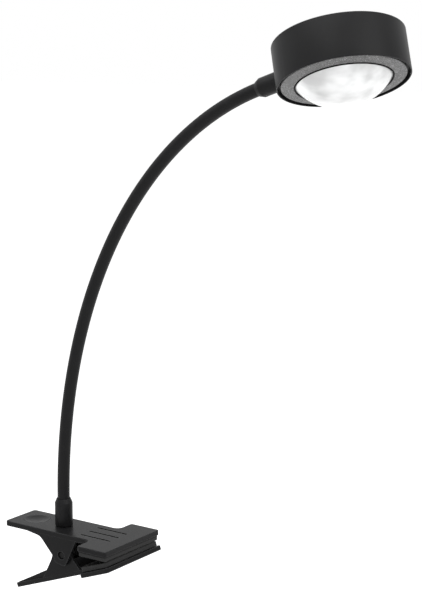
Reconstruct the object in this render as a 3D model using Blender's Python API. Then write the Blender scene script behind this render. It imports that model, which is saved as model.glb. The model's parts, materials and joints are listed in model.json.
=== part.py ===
"""Clip-on reading lamp: a two-lever spring clip, a bendable gooseneck and a round head.

The row frame is in metres with +Z up. Its origin is the centre of the upper jaw pad's gripping
face. +X points out of the jaws, the clip hinges about Y, and the neck at rest curves in the plane
Y = 0. Moving pieces hang on an empty that stands on their joint's axis.
"""

import math

import bmesh
import bpy
from mathutils import Matrix, Vector

mm = 0.001
deg = math.pi / 180

# ---- Driving sizes -------------------------------------------------------------------------

# clearances
SEAT = 0.3 * mm                  # between two pieces that rest on each other
RUN = 0.35 * mm                  # between the cheeks of the two levers

# upper lever
HANDLE_WIDTH = 33.7 * mm
JAW_WIDTH = 64.3 * mm
JAW_DEPTH = 26.2 * mm
UPPER_HANDLE = 82.7 * mm         # from the jaw's back edge to the handle's end
UPPER_PLATE = 4.0 * mm
UPPER_PAD = 3.2 * mm
UPPER_PAD_INSET = 0.6 * mm
CHEEK = 2.4 * mm                 # thickness of an upper cheek
JAW_CORNER = 1.8 * mm
HANDLE_CORNER = 2.5 * mm
LOWER_HANDLE_CORNER = 2.5 * mm
SHOULDER = 4.5 * mm              # concave fillet where the handle meets the jaw
EDGE = 0.55 * mm                 # rounding of the moulded edges
STEP = 0.05 * mm                 # by which a cheek stands back from its plate's side

# three grip grooves
GROOVE_LENGTH = 28.0 * mm
GROOVE_WIDTH = 1.7 * mm
GROOVE_DEPTH = 0.9 * mm
GROOVE_PITCH = 9.8 * mm
GROOVE_FRONT = 12.9 * mm         # from the jaw's front edge to the grooves' ends

# touch dish
DISH_RADIUS = 9.9 * mm
DISH_HOLLOW = 0.9 * mm
DISH_FROM_END = 17.1 * mm
DISH_RIM = 1.8 * mm              # thickness of the touch pad at its rim
SENSOR = 0.6 * mm

# hinge
PIVOT_BACK = 28.0 * mm           # from the jaw's back edge to the pin
PIVOT_DROP = 9.5 * mm            # from the upper pad's face down to the pin
PIN_RADIUS = 2.8 * mm
PIN_RECESS = 1.0 * mm

# lower lever, in its own straight frame on the pin
LOWER_DROP = 17.2 * mm           # from the pin down to the plate's underside
LOWER_PLATE = 3.6 * mm
LOWER_PAD = 3.6 * mm
LOWER_PAD_INSET = 1.5 * mm
LOWER_FRONT = 54.2 * mm
LOWER_HANDLE = 56.4 * mm
LOWER_JAW_DEPTH = 27.4 * mm
LOWER_CHEEK = 2.2 * mm
LOWER_RIM = 1.6 * mm             # thickness of the low side walls of the handle
LOWER_RIM_INSET = 1.5 * mm
JAW_GAP = 0.6 * mm               # between the pads' front edges when the clip is shut

# clip spring
SPRING_WIRE = 0.8 * mm           # radius
SPRING_COIL = 5.2 * mm
SPRING_TURNS = 7
SPRING_HALF = 9.0 * mm
SPRING_UPPER_REACH = 27.5 * mm
SPRING_LOWER_REACH = 30.0 * mm

# neck
NECK_BACK = 10.8 * mm            # from the pin back to the neck's foot
NECK_RADIUS = 4.6 * mm
NECK_LENGTH = 374.4 * mm         # between the two collars, along the curve
LEAN_EVEN = 47.4 * deg           # part of the lean that grows evenly along the neck
LEAN_TIP = 23.1 * deg            # part that grows with the cube of the length
NECK_LINKS = 10
NECK_BORE = 3.2 * mm
NECK_SIDES = 16
CONDUIT_BORE = 1.9 * mm
CABLE_RADIUS = 1.5 * mm
LINER_REACH = 2.0 * mm           # how far conduit and cable run past a link's pivot
CUP_FIT = 0.3 * mm

# collars
COLLAR_RADIUS = 6.65 * mm
COLLAR_LENGTH = 20.9 * mm
HEAD_COLLAR_LENGTH = 21.9 * mm
COLLAR_TAPER = 3.2 * mm
SOCKET_DEPTH = 10.0 * mm
STUD_RADIUS = 4.0 * mm
STUD_BORE = 1.9 * mm
NUT_FLATS = 12.0 * mm
NUT_HEIGHT = 3.6 * mm
WASHER = 1.0 * mm
WASHER_RADIUS = 6.6 * mm
STUD_PROUD = 1.0 * mm            # thread that shows past a nut

# head
HEAD_ROLL = 15.0 * deg           # about the collar, turns the lens towards -Y
HEAD_RADIUS = 42.9 * mm
HEAD_HEIGHT = 28.8 * mm
HEAD_RIM_DROP = 17.0 * mm        # from the collar's axis down to the open rim
HEAD_WALL = 2.2 * mm
HEAD_TOP_EDGE = 1.0 * mm
RIM_WALL = 0.8 * mm
RING_RADIUS = 40.0 * mm
RING_THICK = 2.6 * mm
RING_RECESS = 0.6 * mm         # of the ring's outer edge below the rim
RING_CONE = 1.0 * mm             # by which the ring's inner edge stands proud of its outer one
RING_SEAT = 1.0 * mm             # width of the ledge under the trim ring
LEDGE = 1.5 * mm
LENS_RADIUS = 30.6 * mm
LENS_DOME = 15.2 * mm
LENS_WALL = 2.4 * mm
LENS_FLANGE = 3.9 * mm
LENS_FLANGE_THICK = 1.5 * mm
GASKET = 0.5 * mm
GASKET_FLANGE = 1.0 * mm
REFLECTOR_WALL = 1.2 * mm
REFLECTOR_THROAT = 6.4 * mm
CHIP_RADIUS = 5.0 * mm
CHIP_THICK = 1.0 * mm
LED_BOARD_RADIUS = 12.0 * mm
LED_BOARD = 1.6 * mm
SPREADER_RADIUS = 32.0 * mm
SPREADER = 2.0 * mm
SPREADER_ABOVE = 2.2 * mm        # from the collar's axis up to the heat spreader
BOSS_RADIUS = 3.0 * mm
BOSS_CIRCLE = 27.0 * mm
SCREW_RADIUS = 1.25 * mm
SCREW_HEAD = 2.3 * mm
DRIVER_BOARD = (34.0 * mm, 20.0 * mm, 1.2 * mm)
COMPONENT_HEIGHT = 2.6 * mm
HEAD_SIDES = 48

# ---- Sizes that follow ---------------------------------------------------------------------

UPPER_BOTTOM = UPPER_PAD + SEAT
UPPER_TOP = UPPER_BOTTOM + UPPER_PLATE
JAW_BACK = -JAW_DEPTH / 2
JAW_FRONT = JAW_DEPTH / 2
HANDLE_END = JAW_BACK - UPPER_HANDLE
PIVOT = Vector((JAW_BACK - PIVOT_BACK, 0, -PIVOT_DROP))
FOOT_X = PIVOT.x - NECK_BACK
CHEEK_INSIDE = HANDLE_WIDTH / 2 - CHEEK
LOWER_HALF = CHEEK_INSIDE - RUN
LOWER_TOP = -LOWER_DROP + LOWER_PLATE
LOWER_FACE = LOWER_TOP + SEAT + LOWER_PAD
LOWER_JAW_BACK = LOWER_FRONT - LOWER_JAW_DEPTH
SOCKET_RADIUS = NECK_RADIUS + SEAT
STUD_HOLE = STUD_RADIUS + SEAT
CONDUIT_RADIUS = NECK_BORE - SEAT


def lower_tilt():
    """The lever's angle at which the lower pad's front edge lies JAW_GAP below the upper pad."""
    reach = LOWER_FRONT - LOWER_PAD_INSET
    sweep = math.hypot(reach, LOWER_FACE)
    return math.atan2(-LOWER_FACE, reach) + math.asin((PIVOT_DROP - JAW_GAP) / sweep)


TILT = lower_tilt()
PIVOT_FRAME = Matrix.Translation(PIVOT) @ Matrix.Rotation(-TILT, 4, "Y")


def lean(along):
    """The neck's angle from the vertical at a length along it, counted from the base collar."""
    part = min(max(along / NECK_LENGTH, 0.0), 1.0)
    return LEAN_EVEN * part + LEAN_TIP * part ** 3


def neck_point(along):
    """A point on the neck's centre line; past either end the line runs on straight."""
    inside = min(max(along, 0.0), NECK_LENGTH)
    steps = 160
    point = Vector((FOOT_X, 0, UPPER_TOP + SEAT + COLLAR_LENGTH))
    for step in range(steps):
        angle = lean(inside * (step + 0.5) / steps)
        point += Vector((math.sin(angle), 0, math.cos(angle))) * inside / steps
    end = lean(inside)
    return point + Vector((math.sin(end), 0, math.cos(end))) * (along - inside)


NECK_END = Matrix.Translation(neck_point(NECK_LENGTH)) @ Matrix.Rotation(lean(NECK_LENGTH), 4, "Y")
HEAD_CENTRE = (
    Matrix.Translation(neck_point(NECK_LENGTH + HEAD_COLLAR_LENGTH + SEAT + HEAD_RADIUS))
    @ Matrix.Rotation(lean(NECK_LENGTH) - math.pi / 2, 4, "Y")
    @ Matrix.Rotation(-HEAD_ROLL, 4, "X")
)

# heights in the head's frame, from the collar's axis
RIM = -HEAD_RIM_DROP
ROOF = RIM + HEAD_HEIGHT
CEILING = ROOF - HEAD_WALL
INSIDE = HEAD_RADIUS - HEAD_WALL
RING_FRONT = RIM + RING_RECESS
RING_BACK = RING_FRONT + RING_THICK
LEDGE_FACE = RING_BACK + SEAT
RING_BORE = LENS_RADIUS + 2 * SEAT + GASKET
LENS_SEAT = LEDGE_FACE + GASKET_FLANGE + SEAT
LENS_BACK = LENS_SEAT + LENS_FLANGE_THICK
LENS_EDGE = RING_FRONT - RING_CONE + SEAT
FLANGE_RADIUS = LENS_RADIUS + LENS_FLANGE
SPREADER_TOP = SPREADER_ABOVE + SPREADER
BOARD_FACE = SPREADER_ABOVE - SEAT - LED_BOARD
CHIP_FACE = BOARD_FACE - SEAT - CHIP_THICK


# ---- Modelling helpers ---------------------------------------------------------------------

def clear_scene():
    for thing in list(bpy.data.objects):
        bpy.data.objects.remove(thing, do_unlink=True)


def material(name, colour, roughness, metallic=0.0):
    made = bpy.data.materials.new(name)
    made.use_nodes = True
    shader = made.node_tree.nodes["Principled BSDF"]
    shader.inputs["Base Color"].default_value = (*colour, 1.0)
    shader.inputs["Roughness"].default_value = roughness
    shader.inputs["Metallic"].default_value = metallic
    return made


def axis_empty(name, place, parent=None):
    """An empty that stands on a joint's axis and carries the pieces that move about it."""
    empty = bpy.data.objects.new(name, None)
    bpy.context.collection.objects.link(empty)
    empty.parent = parent
    empty.matrix_local = place
    return empty


def add_object(name, bm, finish, place=None, parent=None, smooth=True):
    """Turn a bmesh into a named object with outward faces."""
    bmesh.ops.recalc_face_normals(bm, faces=bm.faces)
    mesh = bpy.data.meshes.new(name)
    bm.to_mesh(mesh)
    bm.free()
    if smooth:
        mesh.shade_smooth()
        mesh.set_sharp_from_angle(angle=35 * deg)
    made = bpy.data.objects.new(name, mesh)
    bpy.context.collection.objects.link(made)
    if finish:
        mesh.materials.append(finish)
    made.parent = parent
    made.matrix_local = place or Matrix.Identity(4)
    return made


def combine(target, tool, operation):
    """Join a tool to the target or cut it away; the tool itself is not part of the lamp."""
    tool.hide_render = True
    tool.display_type = "WIRE"
    step = target.modifiers.new(tool.name, "BOOLEAN")
    step.operation = operation
    step.object = tool


def rounded(corners, arc_steps=4):
    """A closed outline from (u, v, radius) corners, each rounded by an arc of its radius."""
    points = []
    count = len(corners)
    for index, (u, v, radius) in enumerate(corners):
        here = Vector((u, v))
        before = (Vector(corners[index - 1][:2]) - here).normalized()
        after = (Vector(corners[(index + 1) % count][:2]) - here).normalized()
        if radius <= 0:
            points.append(here)
            continue
        half = before.angle(after) / 2
        middle = here + (before + after).normalized() * radius / math.sin(half)
        start = here + before * radius / math.tan(half) - middle
        turn = start.angle_signed(here + after * radius / math.tan(half) - middle)
        for step in range(arc_steps + 1):
            angle = -turn * step / arc_steps
            swung = Vector((
                start.x * math.cos(angle) - start.y * math.sin(angle),
                start.x * math.sin(angle) + start.y * math.cos(angle),
            ))
            points.append(middle + swung)
    return points


def prism(outline, low, high, plane="XY", edge=0.0, edge_steps=2):
    """Extrude an outline from low to high. In plane XZ it runs along Y."""
    bm = bmesh.new()
    if plane == "XY":
        floor = [bm.verts.new((p[0], p[1], low)) for p in outline]
        rise = Vector((0, 0, high - low))
    else:
        floor = [bm.verts.new((p[0], low, p[1])) for p in outline]
        rise = Vector((0, high - low, 0))
    bottom = bm.faces.new(floor)
    grown = bmesh.ops.extrude_face_region(bm, geom=[bottom])
    lifted = [item for item in grown["geom"] if isinstance(item, bmesh.types.BMVert)]
    bmesh.ops.translate(bm, verts=lifted, vec=rise)
    if edge > 0:
        flat = {face for face in bm.faces if len(face.verts) == len(outline)}
        edges = [e for e in bm.edges if sum(face in flat for face in e.link_faces) == 1]
        bmesh.ops.bevel(bm, geom=edges, offset=edge, segments=edge_steps, profile=0.5,
                        affect="EDGES")
    return bm


def block(x, y, z):
    """A box from three (low, high) pairs."""
    return prism([(x[0], y[0]), (x[1], y[0]), (x[1], y[1]), (x[0], y[1])], z[0], z[1])


def turned(profile, sides):
    """Turn (radius, height) points about Z. A profile off the axis is closed into a ring."""
    bm = bmesh.new()
    rings = []
    for radius, height in profile:
        if radius == 0:
            rings.append([bm.verts.new((0, 0, height))])
            continue
        angles = [2 * math.pi * k / sides for k in range(sides)]
        rings.append([
            bm.verts.new((radius * math.cos(a), radius * math.sin(a), height)) for a in angles
        ])
    pairs = list(zip(rings, rings[1:]))
    if len(rings[0]) > 1:
        pairs.append((rings[-1], rings[0]))
    for lower, upper in pairs:
        for k in range(sides):
            around = (k + 1) % sides
            corners = [lower[k % len(lower)], lower[around % len(lower)],
                       upper[around % len(upper)], upper[k % len(upper)]]
            bm.faces.new(list(dict.fromkeys(corners)))
    return bm


def arc(middle, radius, start, end, steps):
    """Points on a circle in the (radius, height) plane, angles from the outward direction."""
    points = []
    for step in range(steps + 1):
        angle = start + (end - start) * step / steps
        points.append((middle[0] + radius * math.cos(angle), middle[1] + radius * math.sin(angle)))
    return points


def polygon(radius, sides):
    turns = [2 * math.pi * k / sides for k in range(sides)]
    return [(radius * math.cos(turn), radius * math.sin(turn)) for turn in turns]


def hexagon(flats):
    return polygon(flats / 2 / math.cos(30 * deg), 6)


# ---- Materials -----------------------------------------------------------------------------

def make_materials():
    return {
        "moulding": material("moulding", (0.035, 0.035, 0.037), 0.55),
        "pad": material("pad", (0.03, 0.03, 0.03), 0.8),
        "steel": material("steel", (0.55, 0.55, 0.56), 0.3, 1.0),
        "collar": material("collar", (0.02, 0.02, 0.021), 0.42),
        "sleeve": material("sleeve", (0.018, 0.018, 0.019), 0.5),
        "cable": material("cable", (0.03, 0.03, 0.03), 0.45),
        "housing": material("housing", (0.025, 0.025, 0.026), 0.4),
        "grain": material("grain", (0.17, 0.17, 0.17), 0.6),
        "rubber": material("rubber", (0.01, 0.01, 0.01), 0.7),
        "lens": material("lens", (0.93, 0.93, 0.93), 0.05),
        "mirror": material("mirror", (0.85, 0.85, 0.85), 0.08, 1.0),
        "board": material("board", (0.05, 0.25, 0.12), 0.5),
        "phosphor": material("phosphor", (0.9, 0.75, 0.2), 0.5),
        "aluminium": material("aluminium", (0.75, 0.75, 0.76), 0.35, 1.0),
    }


# ---- Clip ----------------------------------------------------------------------------------

def plate_outline(back, shoulder, front, half_handle, half_jaw, end_corner):
    """The T-shaped plan of a lever: a straight handle that widens into the jaw."""
    side = [
        (back, half_handle, end_corner),
        (shoulder, half_handle, SHOULDER),
        (shoulder, half_jaw, JAW_CORNER),
        (front, half_jaw, JAW_CORNER),
    ]
    other = [(x, -y, radius) for x, y, radius in reversed(side)]
    return rounded(side + other)


def upper_cheek_outline():
    """One upper cheek: a skirt under the handle that deepens to a blunt tip around the pin."""
    px, pz = PIVOT.x, PIVOT.z
    return rounded([
        (px - 37.5 * mm, UPPER_TOP - 1.2 * mm, 0),
        (px - 32.0 * mm, UPPER_BOTTOM, 2 * mm),
        (px - 20.3 * mm, pz + 11.4 * mm, 9 * mm),
        (px - 7.1 * mm, pz - 2.6 * mm, 2 * mm),
        (px - 5.8 * mm, pz - 6.4 * mm, 3 * mm),
        (px + 3.6 * mm, pz - 8.0 * mm, 3 * mm),
        (px + 14.0 * mm, UPPER_BOTTOM, 0),
        (px + 15.0 * mm, UPPER_TOP - 1.2 * mm, 0),
    ])


def make_upper_lever(finishes):
    plan = plate_outline(HANDLE_END, JAW_BACK, JAW_FRONT, HANDLE_WIDTH / 2, JAW_WIDTH / 2,
                         HANDLE_CORNER)
    lever = add_object("upper_lever", prism(plan, UPPER_BOTTOM, UPPER_TOP, edge=EDGE),
                       finishes["moulding"])
    for side in (-1, 1):
        inner, outer = sorted((side * CHEEK_INSIDE, side * (HANDLE_WIDTH / 2 - STEP)))
        cheek = add_object(f"upper_cheek_{side:+d}",
                           prism(upper_cheek_outline(), inner, outer, "XZ"), None)
        combine(lever, cheek, "UNION")
    groove_x = (JAW_FRONT - GROOVE_FRONT - GROOVE_LENGTH, JAW_FRONT - GROOVE_FRONT)
    for row in (-1, 0, 1):
        y = row * GROOVE_PITCH
        half = GROOVE_WIDTH / 2
        plan = rounded([(groove_x[0], y - half, half * 0.98), (groove_x[1], y - half, half * 0.98),
                        (groove_x[1], y + half, half * 0.98), (groove_x[0], y + half, half * 0.98)])
        groove = add_object(f"groove_cut_{row:+d}",
                            prism(plan, UPPER_TOP - GROOVE_DEPTH, UPPER_TOP + EDGE), None)
        combine(lever, groove, "DIFFERENCE")
    pocket_floor = UPPER_TOP - DISH_RIM - SENSOR - 2 * SEAT
    rim = DISH_RADIUS + SEAT
    pocket = turned([(0, pocket_floor), (rim, pocket_floor), (rim, UPPER_TOP + EDGE),
                     (0, UPPER_TOP + EDGE)], 32)
    combine(lever, add_object("pocket_cut", pocket, None, dish_place()), "DIFFERENCE")
    hole = turned([(0, UPPER_BOTTOM - EDGE), (STUD_HOLE, UPPER_BOTTOM - EDGE),
                   (STUD_HOLE, UPPER_TOP + EDGE), (0, UPPER_TOP + EDGE)], 24)
    combine(lever, add_object("stud_hole_cut", hole, None, foot_place()), "DIFFERENCE")
    combine(lever, pin_cutter("upper_pin_cut", None), "DIFFERENCE")
    return lever


def pin_cutter(name, parent):
    """A rod along the hinge, wider than the pin by its seat."""
    reach = HANDLE_WIDTH
    radius = PIN_RADIUS + SEAT
    rod = turned([(0, -reach), (radius, -reach), (radius, reach), (0, reach)], 32)
    place = Matrix.Rotation(math.pi / 2, 4, "X")
    if parent is None:
        place = Matrix.Translation(PIVOT) @ place
    return add_object(name, rod, None, place, parent)


def dish_place():
    return Matrix.Translation((HANDLE_END + DISH_FROM_END, 0, 0))


def foot_place():
    return Matrix.Translation((FOOT_X, 0, 0))


def make_touch_dish(finishes):
    bottom = UPPER_TOP - DISH_RIM
    hollow_radius = (DISH_RADIUS ** 2 + DISH_HOLLOW ** 2) / (2 * DISH_HOLLOW)
    land = 0.8 * mm
    dished = []
    for step in range(6):
        radius = (DISH_RADIUS - land) * (1 - step / 5)
        sag = math.sqrt(hollow_radius ** 2 - radius ** 2) - (hollow_radius - DISH_HOLLOW)
        dished.append((radius, UPPER_TOP - max(sag, 0)))
    profile = [(0, bottom), (DISH_RADIUS, bottom), (DISH_RADIUS, UPPER_TOP - 0.2 * mm),
               (DISH_RADIUS - 0.2 * mm, UPPER_TOP)] + dished
    add_object("touch_pad", turned(profile, 32), finishes["moulding"], dish_place())
    top = bottom - SEAT
    sensor = [(0, top - SENSOR), (DISH_RADIUS - land, top - SENSOR), (DISH_RADIUS - land, top),
              (0, top)]
    add_object("touch_sensor", turned(sensor, 24), finishes["board"], dish_place())


def pad_plan(back, front, half):
    return rounded([(back, half, 2 * mm), (front, half, 2 * mm), (front, -half, 2 * mm),
                    (back, -half, 2 * mm)])


def make_upper_pad(finishes):
    plan = pad_plan(JAW_BACK + UPPER_PAD_INSET, JAW_FRONT - UPPER_PAD_INSET,
                    JAW_WIDTH / 2 - UPPER_PAD_INSET)
    add_object("upper_jaw_pad", prism(plan, 0, UPPER_PAD, edge=0.4 * mm, edge_steps=1),
               finishes["pad"])


def lower_cheek_outline():
    """One lower cheek, on the pin's own frame: round above the pin, sloped down to the plate."""
    foot = -LOWER_DROP + 1.2 * mm
    return rounded([
        (-27.0 * mm, foot, 0),
        (-26.4 * mm, LOWER_TOP, 0),
        (-13.4 * mm, -1.8 * mm, 4 * mm),
        (-6.4 * mm, 7.4 * mm, 5 * mm),
        (6.4 * mm, 7.4 * mm, 5 * mm),
        (7.8 * mm, -5.6 * mm, 2 * mm),
        (12.4 * mm, foot, 0),
    ])


def make_lower_lever(finishes, hinge):
    plan = plate_outline(-LOWER_HANDLE, LOWER_JAW_BACK, LOWER_FRONT, LOWER_HALF, JAW_WIDTH / 2,
                         LOWER_HANDLE_CORNER)
    lever = add_object("lower_lever", prism(plan, -LOWER_DROP, LOWER_TOP, edge=EDGE),
                       finishes["moulding"], parent=hinge)
    rim_outline = [(-LOWER_HANDLE + 3 * mm, LOWER_TOP - 1 * mm),
                   (-LOWER_HANDLE + 3 * mm, LOWER_TOP + 0.4 * mm),
                   (-20.9 * mm, LOWER_TOP + 4.7 * mm),
                   (-20.9 * mm, LOWER_TOP - 1 * mm)]
    for side in (-1, 1):
        inner, outer = sorted((side * (LOWER_HALF - LOWER_CHEEK), side * (LOWER_HALF - STEP)))
        cheek = add_object(f"lower_cheek_{side:+d}",
                           prism(lower_cheek_outline(), inner, outer, "XZ"), None, parent=hinge)
        combine(lever, cheek, "UNION")
        face = LOWER_HALF - LOWER_RIM_INSET
        inner, outer = sorted((side * (face - LOWER_RIM), side * face))
        rim = add_object(f"lower_rim_{side:+d}", prism(rim_outline, inner, outer, "XZ"), None,
                         parent=hinge)
        combine(lever, rim, "UNION")
    combine(lever, pin_cutter("lower_pin_cut", hinge), "DIFFERENCE")
    split = lever.modifiers.new("split", "TRIANGULATE")
    split.ngon_method = "BEAUTY"
    plan = pad_plan(LOWER_JAW_BACK + LOWER_PAD_INSET, LOWER_FRONT - LOWER_PAD_INSET,
                    JAW_WIDTH / 2 - LOWER_PAD_INSET)
    add_object("lower_jaw_pad", prism(plan, LOWER_TOP + SEAT, LOWER_FACE, edge=0.4 * mm,
                                      edge_steps=1), finishes["pad"], parent=hinge)


def make_pin(finishes):
    half = HANDLE_WIDTH / 2 - PIN_RECESS
    chamfer = 0.5 * mm
    rod = turned([(0, -half), (PIN_RADIUS - chamfer, -half), (PIN_RADIUS, -half + chamfer),
                  (PIN_RADIUS, half - chamfer), (PIN_RADIUS - chamfer, half), (0, half)], 32)
    place = Matrix.Translation(PIVOT) @ Matrix.Rotation(math.pi / 2, 4, "X")
    add_object("pivot_pin", rod, finishes["steel"], place)


def leg_start(target, sign):
    """Angle at which a straight leg to the target leaves the coil, on its upper or lower side."""
    return math.atan2(target[1], target[0]) - sign * math.acos(
        SPRING_COIL / math.hypot(*target))


def make_spring(finishes):
    """A torsion spring on the pin. Its legs push the two handles apart."""
    rest = SEAT + SPRING_WIRE
    upper_end = (-SPRING_UPPER_REACH, UPPER_BOTTOM - rest + PIVOT_DROP)
    floor = LOWER_TOP + rest
    lower_end = (-SPRING_LOWER_REACH * math.cos(TILT) - floor * math.sin(TILT),
                 -SPRING_LOWER_REACH * math.sin(TILT) + floor * math.cos(TILT))
    first = leg_start(upper_end, 1)
    last = leg_start(lower_end, -1) - 2 * math.pi * SPRING_TURNS
    while last > first - 2 * math.pi * SPRING_TURNS:
        last -= 2 * math.pi
    points = [(upper_end[0], SPRING_HALF, upper_end[1])]
    steps = round((first - last) / (2 * math.pi) * 10)
    for step in range(steps + 1):
        share = step / steps
        angle = first + (last - first) * share
        points.append((SPRING_COIL * math.cos(angle), SPRING_HALF * (1 - 2 * share),
                       SPRING_COIL * math.sin(angle)))
    points.append((lower_end[0], -SPRING_HALF, lower_end[1]))
    curve = bpy.data.curves.new("clip_spring", "CURVE")
    curve.dimensions = "3D"
    curve.bevel_depth = SPRING_WIRE
    curve.bevel_resolution = 1
    curve.use_fill_caps = True
    line = curve.splines.new("POLY")
    line.points.add(len(points) - 1)
    for slot, point in zip(line.points, points):
        slot.co = (*point, 1)
    curve.materials.append(finishes["steel"])
    spring = bpy.data.objects.new("clip_spring", curve)
    bpy.context.collection.objects.link(spring)
    spring.location = PIVOT


# ---- Neck ----------------------------------------------------------------------------------

def collar_profile(length, stud):
    """A collar from its seat at height 0: socket for the neck above, hollow stud below."""
    lip = SOCKET_RADIUS + 0.35 * mm
    floor = length - SOCKET_DEPTH - SEAT
    foot = 0.6 * mm
    return [
        (STUD_BORE, -stud), (STUD_RADIUS - foot, -stud), (STUD_RADIUS, -stud + foot),
        (STUD_RADIUS, 0), (COLLAR_RADIUS - foot, 0), (COLLAR_RADIUS, foot),
        (COLLAR_RADIUS, length - COLLAR_TAPER), (lip, length),
        (SOCKET_RADIUS, length), (SOCKET_RADIUS, floor), (STUD_BORE, floor),
    ]


def ring_disc(inner, outer, low, high):
    return [(inner, low), (outer, low), (outer, high), (inner, high)]


def hex_nut(name, place, finish, parent=None):
    nut = add_object(name, prism(hexagon(NUT_FLATS), 0, NUT_HEIGHT), finish, place, parent, False)
    hole = add_object(f"{name}_cut", turned([(0, -1 * mm), (STUD_HOLE, -1 * mm),
                                             (STUD_HOLE, NUT_HEIGHT + 1 * mm),
                                             (0, NUT_HEIGHT + 1 * mm)], 24), None, place, parent)
    combine(nut, hole, "DIFFERENCE")


def make_base_fixing(finishes):
    """The neck's foot: collar on the upper lever, with a washer, a nut and a bush below."""
    seat = UPPER_TOP + SEAT
    washer_top = UPPER_BOTTOM - SEAT
    nut_top = washer_top - WASHER - SEAT
    stud_end = nut_top - NUT_HEIGHT - STUD_PROUD
    place = foot_place()
    raised = place @ Matrix.Translation((0, 0, seat))
    add_object("base_collar", turned(collar_profile(COLLAR_LENGTH, seat - stud_end), 32),
               finishes["collar"], raised)
    washer = ring_disc(STUD_HOLE, WASHER_RADIUS, washer_top - WASHER, washer_top)
    add_object("base_washer", turned(washer, 32), finishes["steel"], place)
    hex_nut("base_nut", place @ Matrix.Translation((0, 0, nut_top - NUT_HEIGHT)),
            finishes["steel"])
    flange_top = stud_end - SEAT
    bush_outer = STUD_BORE - SEAT
    bush_bore = bush_outer - 0.6 * mm
    bush = [(bush_bore, flange_top - 1.2 * mm), (3.2 * mm, flange_top - 1.2 * mm),
            (3.2 * mm, flange_top), (bush_outer, flange_top), (bush_outer, flange_top + 4 * mm),
            (bush_bore, flange_top + 4 * mm)]
    add_object("cord_bush", turned(bush, 24), finishes["rubber"], place)


def neck_solid(rings, origin, sides):
    """A tube from (length along the neck, radius) rings, closed from the last to the first."""
    bm = bmesh.new()
    loops = []
    for along, radius in rings:
        centre = neck_point(along) - origin
        angle = lean(along)
        across = Vector((math.cos(angle), 0, -math.sin(angle)))
        loop = []
        for k in range(sides):
            turn = 2 * math.pi * k / sides
            offset = across * math.cos(turn) + Vector((0, 1, 0)) * math.sin(turn)
            loop.append(bm.verts.new(centre + offset * radius))
        loops.append(loop)
    for near, far in zip(loops, loops[1:] + loops[:1]):
        for k in range(sides):
            around = (k + 1) % sides
            bm.faces.new((near[k], near[around], far[around], far[k]))
    return bm


def pivot_at(index):
    """Length along the neck of a link's lower pivot; link 0 starts in the base collar."""
    return NECK_LENGTH * index / NECK_LINKS


def along_steps(start, end, spacing=9.5 * mm):
    """Evenly spaced lengths strictly between two lengths."""
    count = max(1, round((end - start) / spacing))
    return [start + (end - start) * k / count for k in range(1, count)]


def link_rings(index):
    """Outside, ball end, bore and cup of one link of the neck's sleeve."""
    first, last = index == 0, index == NECK_LINKS - 1
    low = pivot_at(index)
    high = pivot_at(index + 1)
    cup = NECK_RADIUS + CUP_FIT
    bore = NECK_BORE
    if first:
        outer_low = inner_low = -SOCKET_DEPTH
        cup_rings = []
    else:
        outer_low = low + math.sqrt(cup ** 2 - NECK_RADIUS ** 2)
        inner_low = low + math.sqrt(cup ** 2 - bore ** 2)
        middle = (NECK_RADIUS + bore) / 2
        cup_rings = [(low + math.sqrt(cup ** 2 - middle ** 2), middle)]
    if last:
        outer_high = inner_high = NECK_LENGTH + SOCKET_DEPTH
        ball = []
    else:
        outer_high = high
        inner_high = high + math.sqrt(NECK_RADIUS ** 2 - bore ** 2)
        reach = math.acos(bore / NECK_RADIUS)
        ball = [(high + NECK_RADIUS * math.sin(reach / 2), NECK_RADIUS * math.cos(reach / 2))]
    middle_steps = along_steps(inner_low, high if not last else NECK_LENGTH)
    rings = [(outer_low, NECK_RADIUS)] + [(s, NECK_RADIUS) for s in middle_steps]
    rings += [(outer_high, NECK_RADIUS)] + ball + [(inner_high, bore)]
    rings += [(s, bore) for s in reversed(middle_steps)] + [(inner_low, bore)] + cup_rings
    return rings


def liner_rings(index, outer, inner):
    """Conduit or cable inside one link, with square ends that stay clear as the links turn."""
    clear = NECK_RADIUS + CUP_FIT
    low = -SOCKET_DEPTH if index == 0 else pivot_at(index) + clear
    high = pivot_at(index + 1) + LINER_REACH
    if index == NECK_LINKS - 1:
        high = NECK_LENGTH + SOCKET_DEPTH
    steps = along_steps(low, high, 13 * mm)
    rings = [(low, outer)] + [(s, outer) for s in steps] + [(high, outer)]
    if inner > 0:
        rings += [(high, inner)] + [(s, inner) for s in reversed(steps)] + [(low, inner)]
    return rings


def cable_solid(rings, origin, sides):
    """A solid rod along the neck: the tube's end rings are capped instead of joined."""
    bm = neck_solid(rings, origin, sides)
    bm.faces.ensure_lookup_table()
    closing = bm.faces[-sides:]
    bmesh.ops.delete(bm, geom=closing, context="FACES_ONLY")
    rims = [edge for edge in bm.edges if edge.is_boundary]
    bmesh.ops.holes_fill(bm, edges=rims, sides=sides)
    return bm


def make_neck(finishes):
    """The sleeve, the steel conduit and the cable, cut into links that turn on each other."""
    parent = None
    parent_place = Matrix.Identity(4)
    for index in range(NECK_LINKS):
        name = f"{index + 1:02d}"
        place = Matrix.Identity(4)
        if index > 0:
            spot = pivot_at(index)
            place = Matrix.Translation(neck_point(spot))
            parent = axis_empty(f"neck_pivot_{name}", parent_place.inverted() @ place, parent)
            parent_place = place
        origin = place.translation
        add_object(f"neck_sleeve_{name}", neck_solid(link_rings(index), origin, NECK_SIDES),
                   finishes["sleeve"], parent=parent)
        add_object(f"neck_conduit_{name}",
                   neck_solid(liner_rings(index, CONDUIT_RADIUS, CONDUIT_BORE), origin, 12),
                   finishes["steel"], parent=parent)
        add_object(f"neck_cable_{name}",
                   cable_solid(liner_rings(index, CABLE_RADIUS, 0), origin, 8),
                   finishes["cable"], parent=parent)
    return parent, parent_place


# ---- Head ----------------------------------------------------------------------------------

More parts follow.
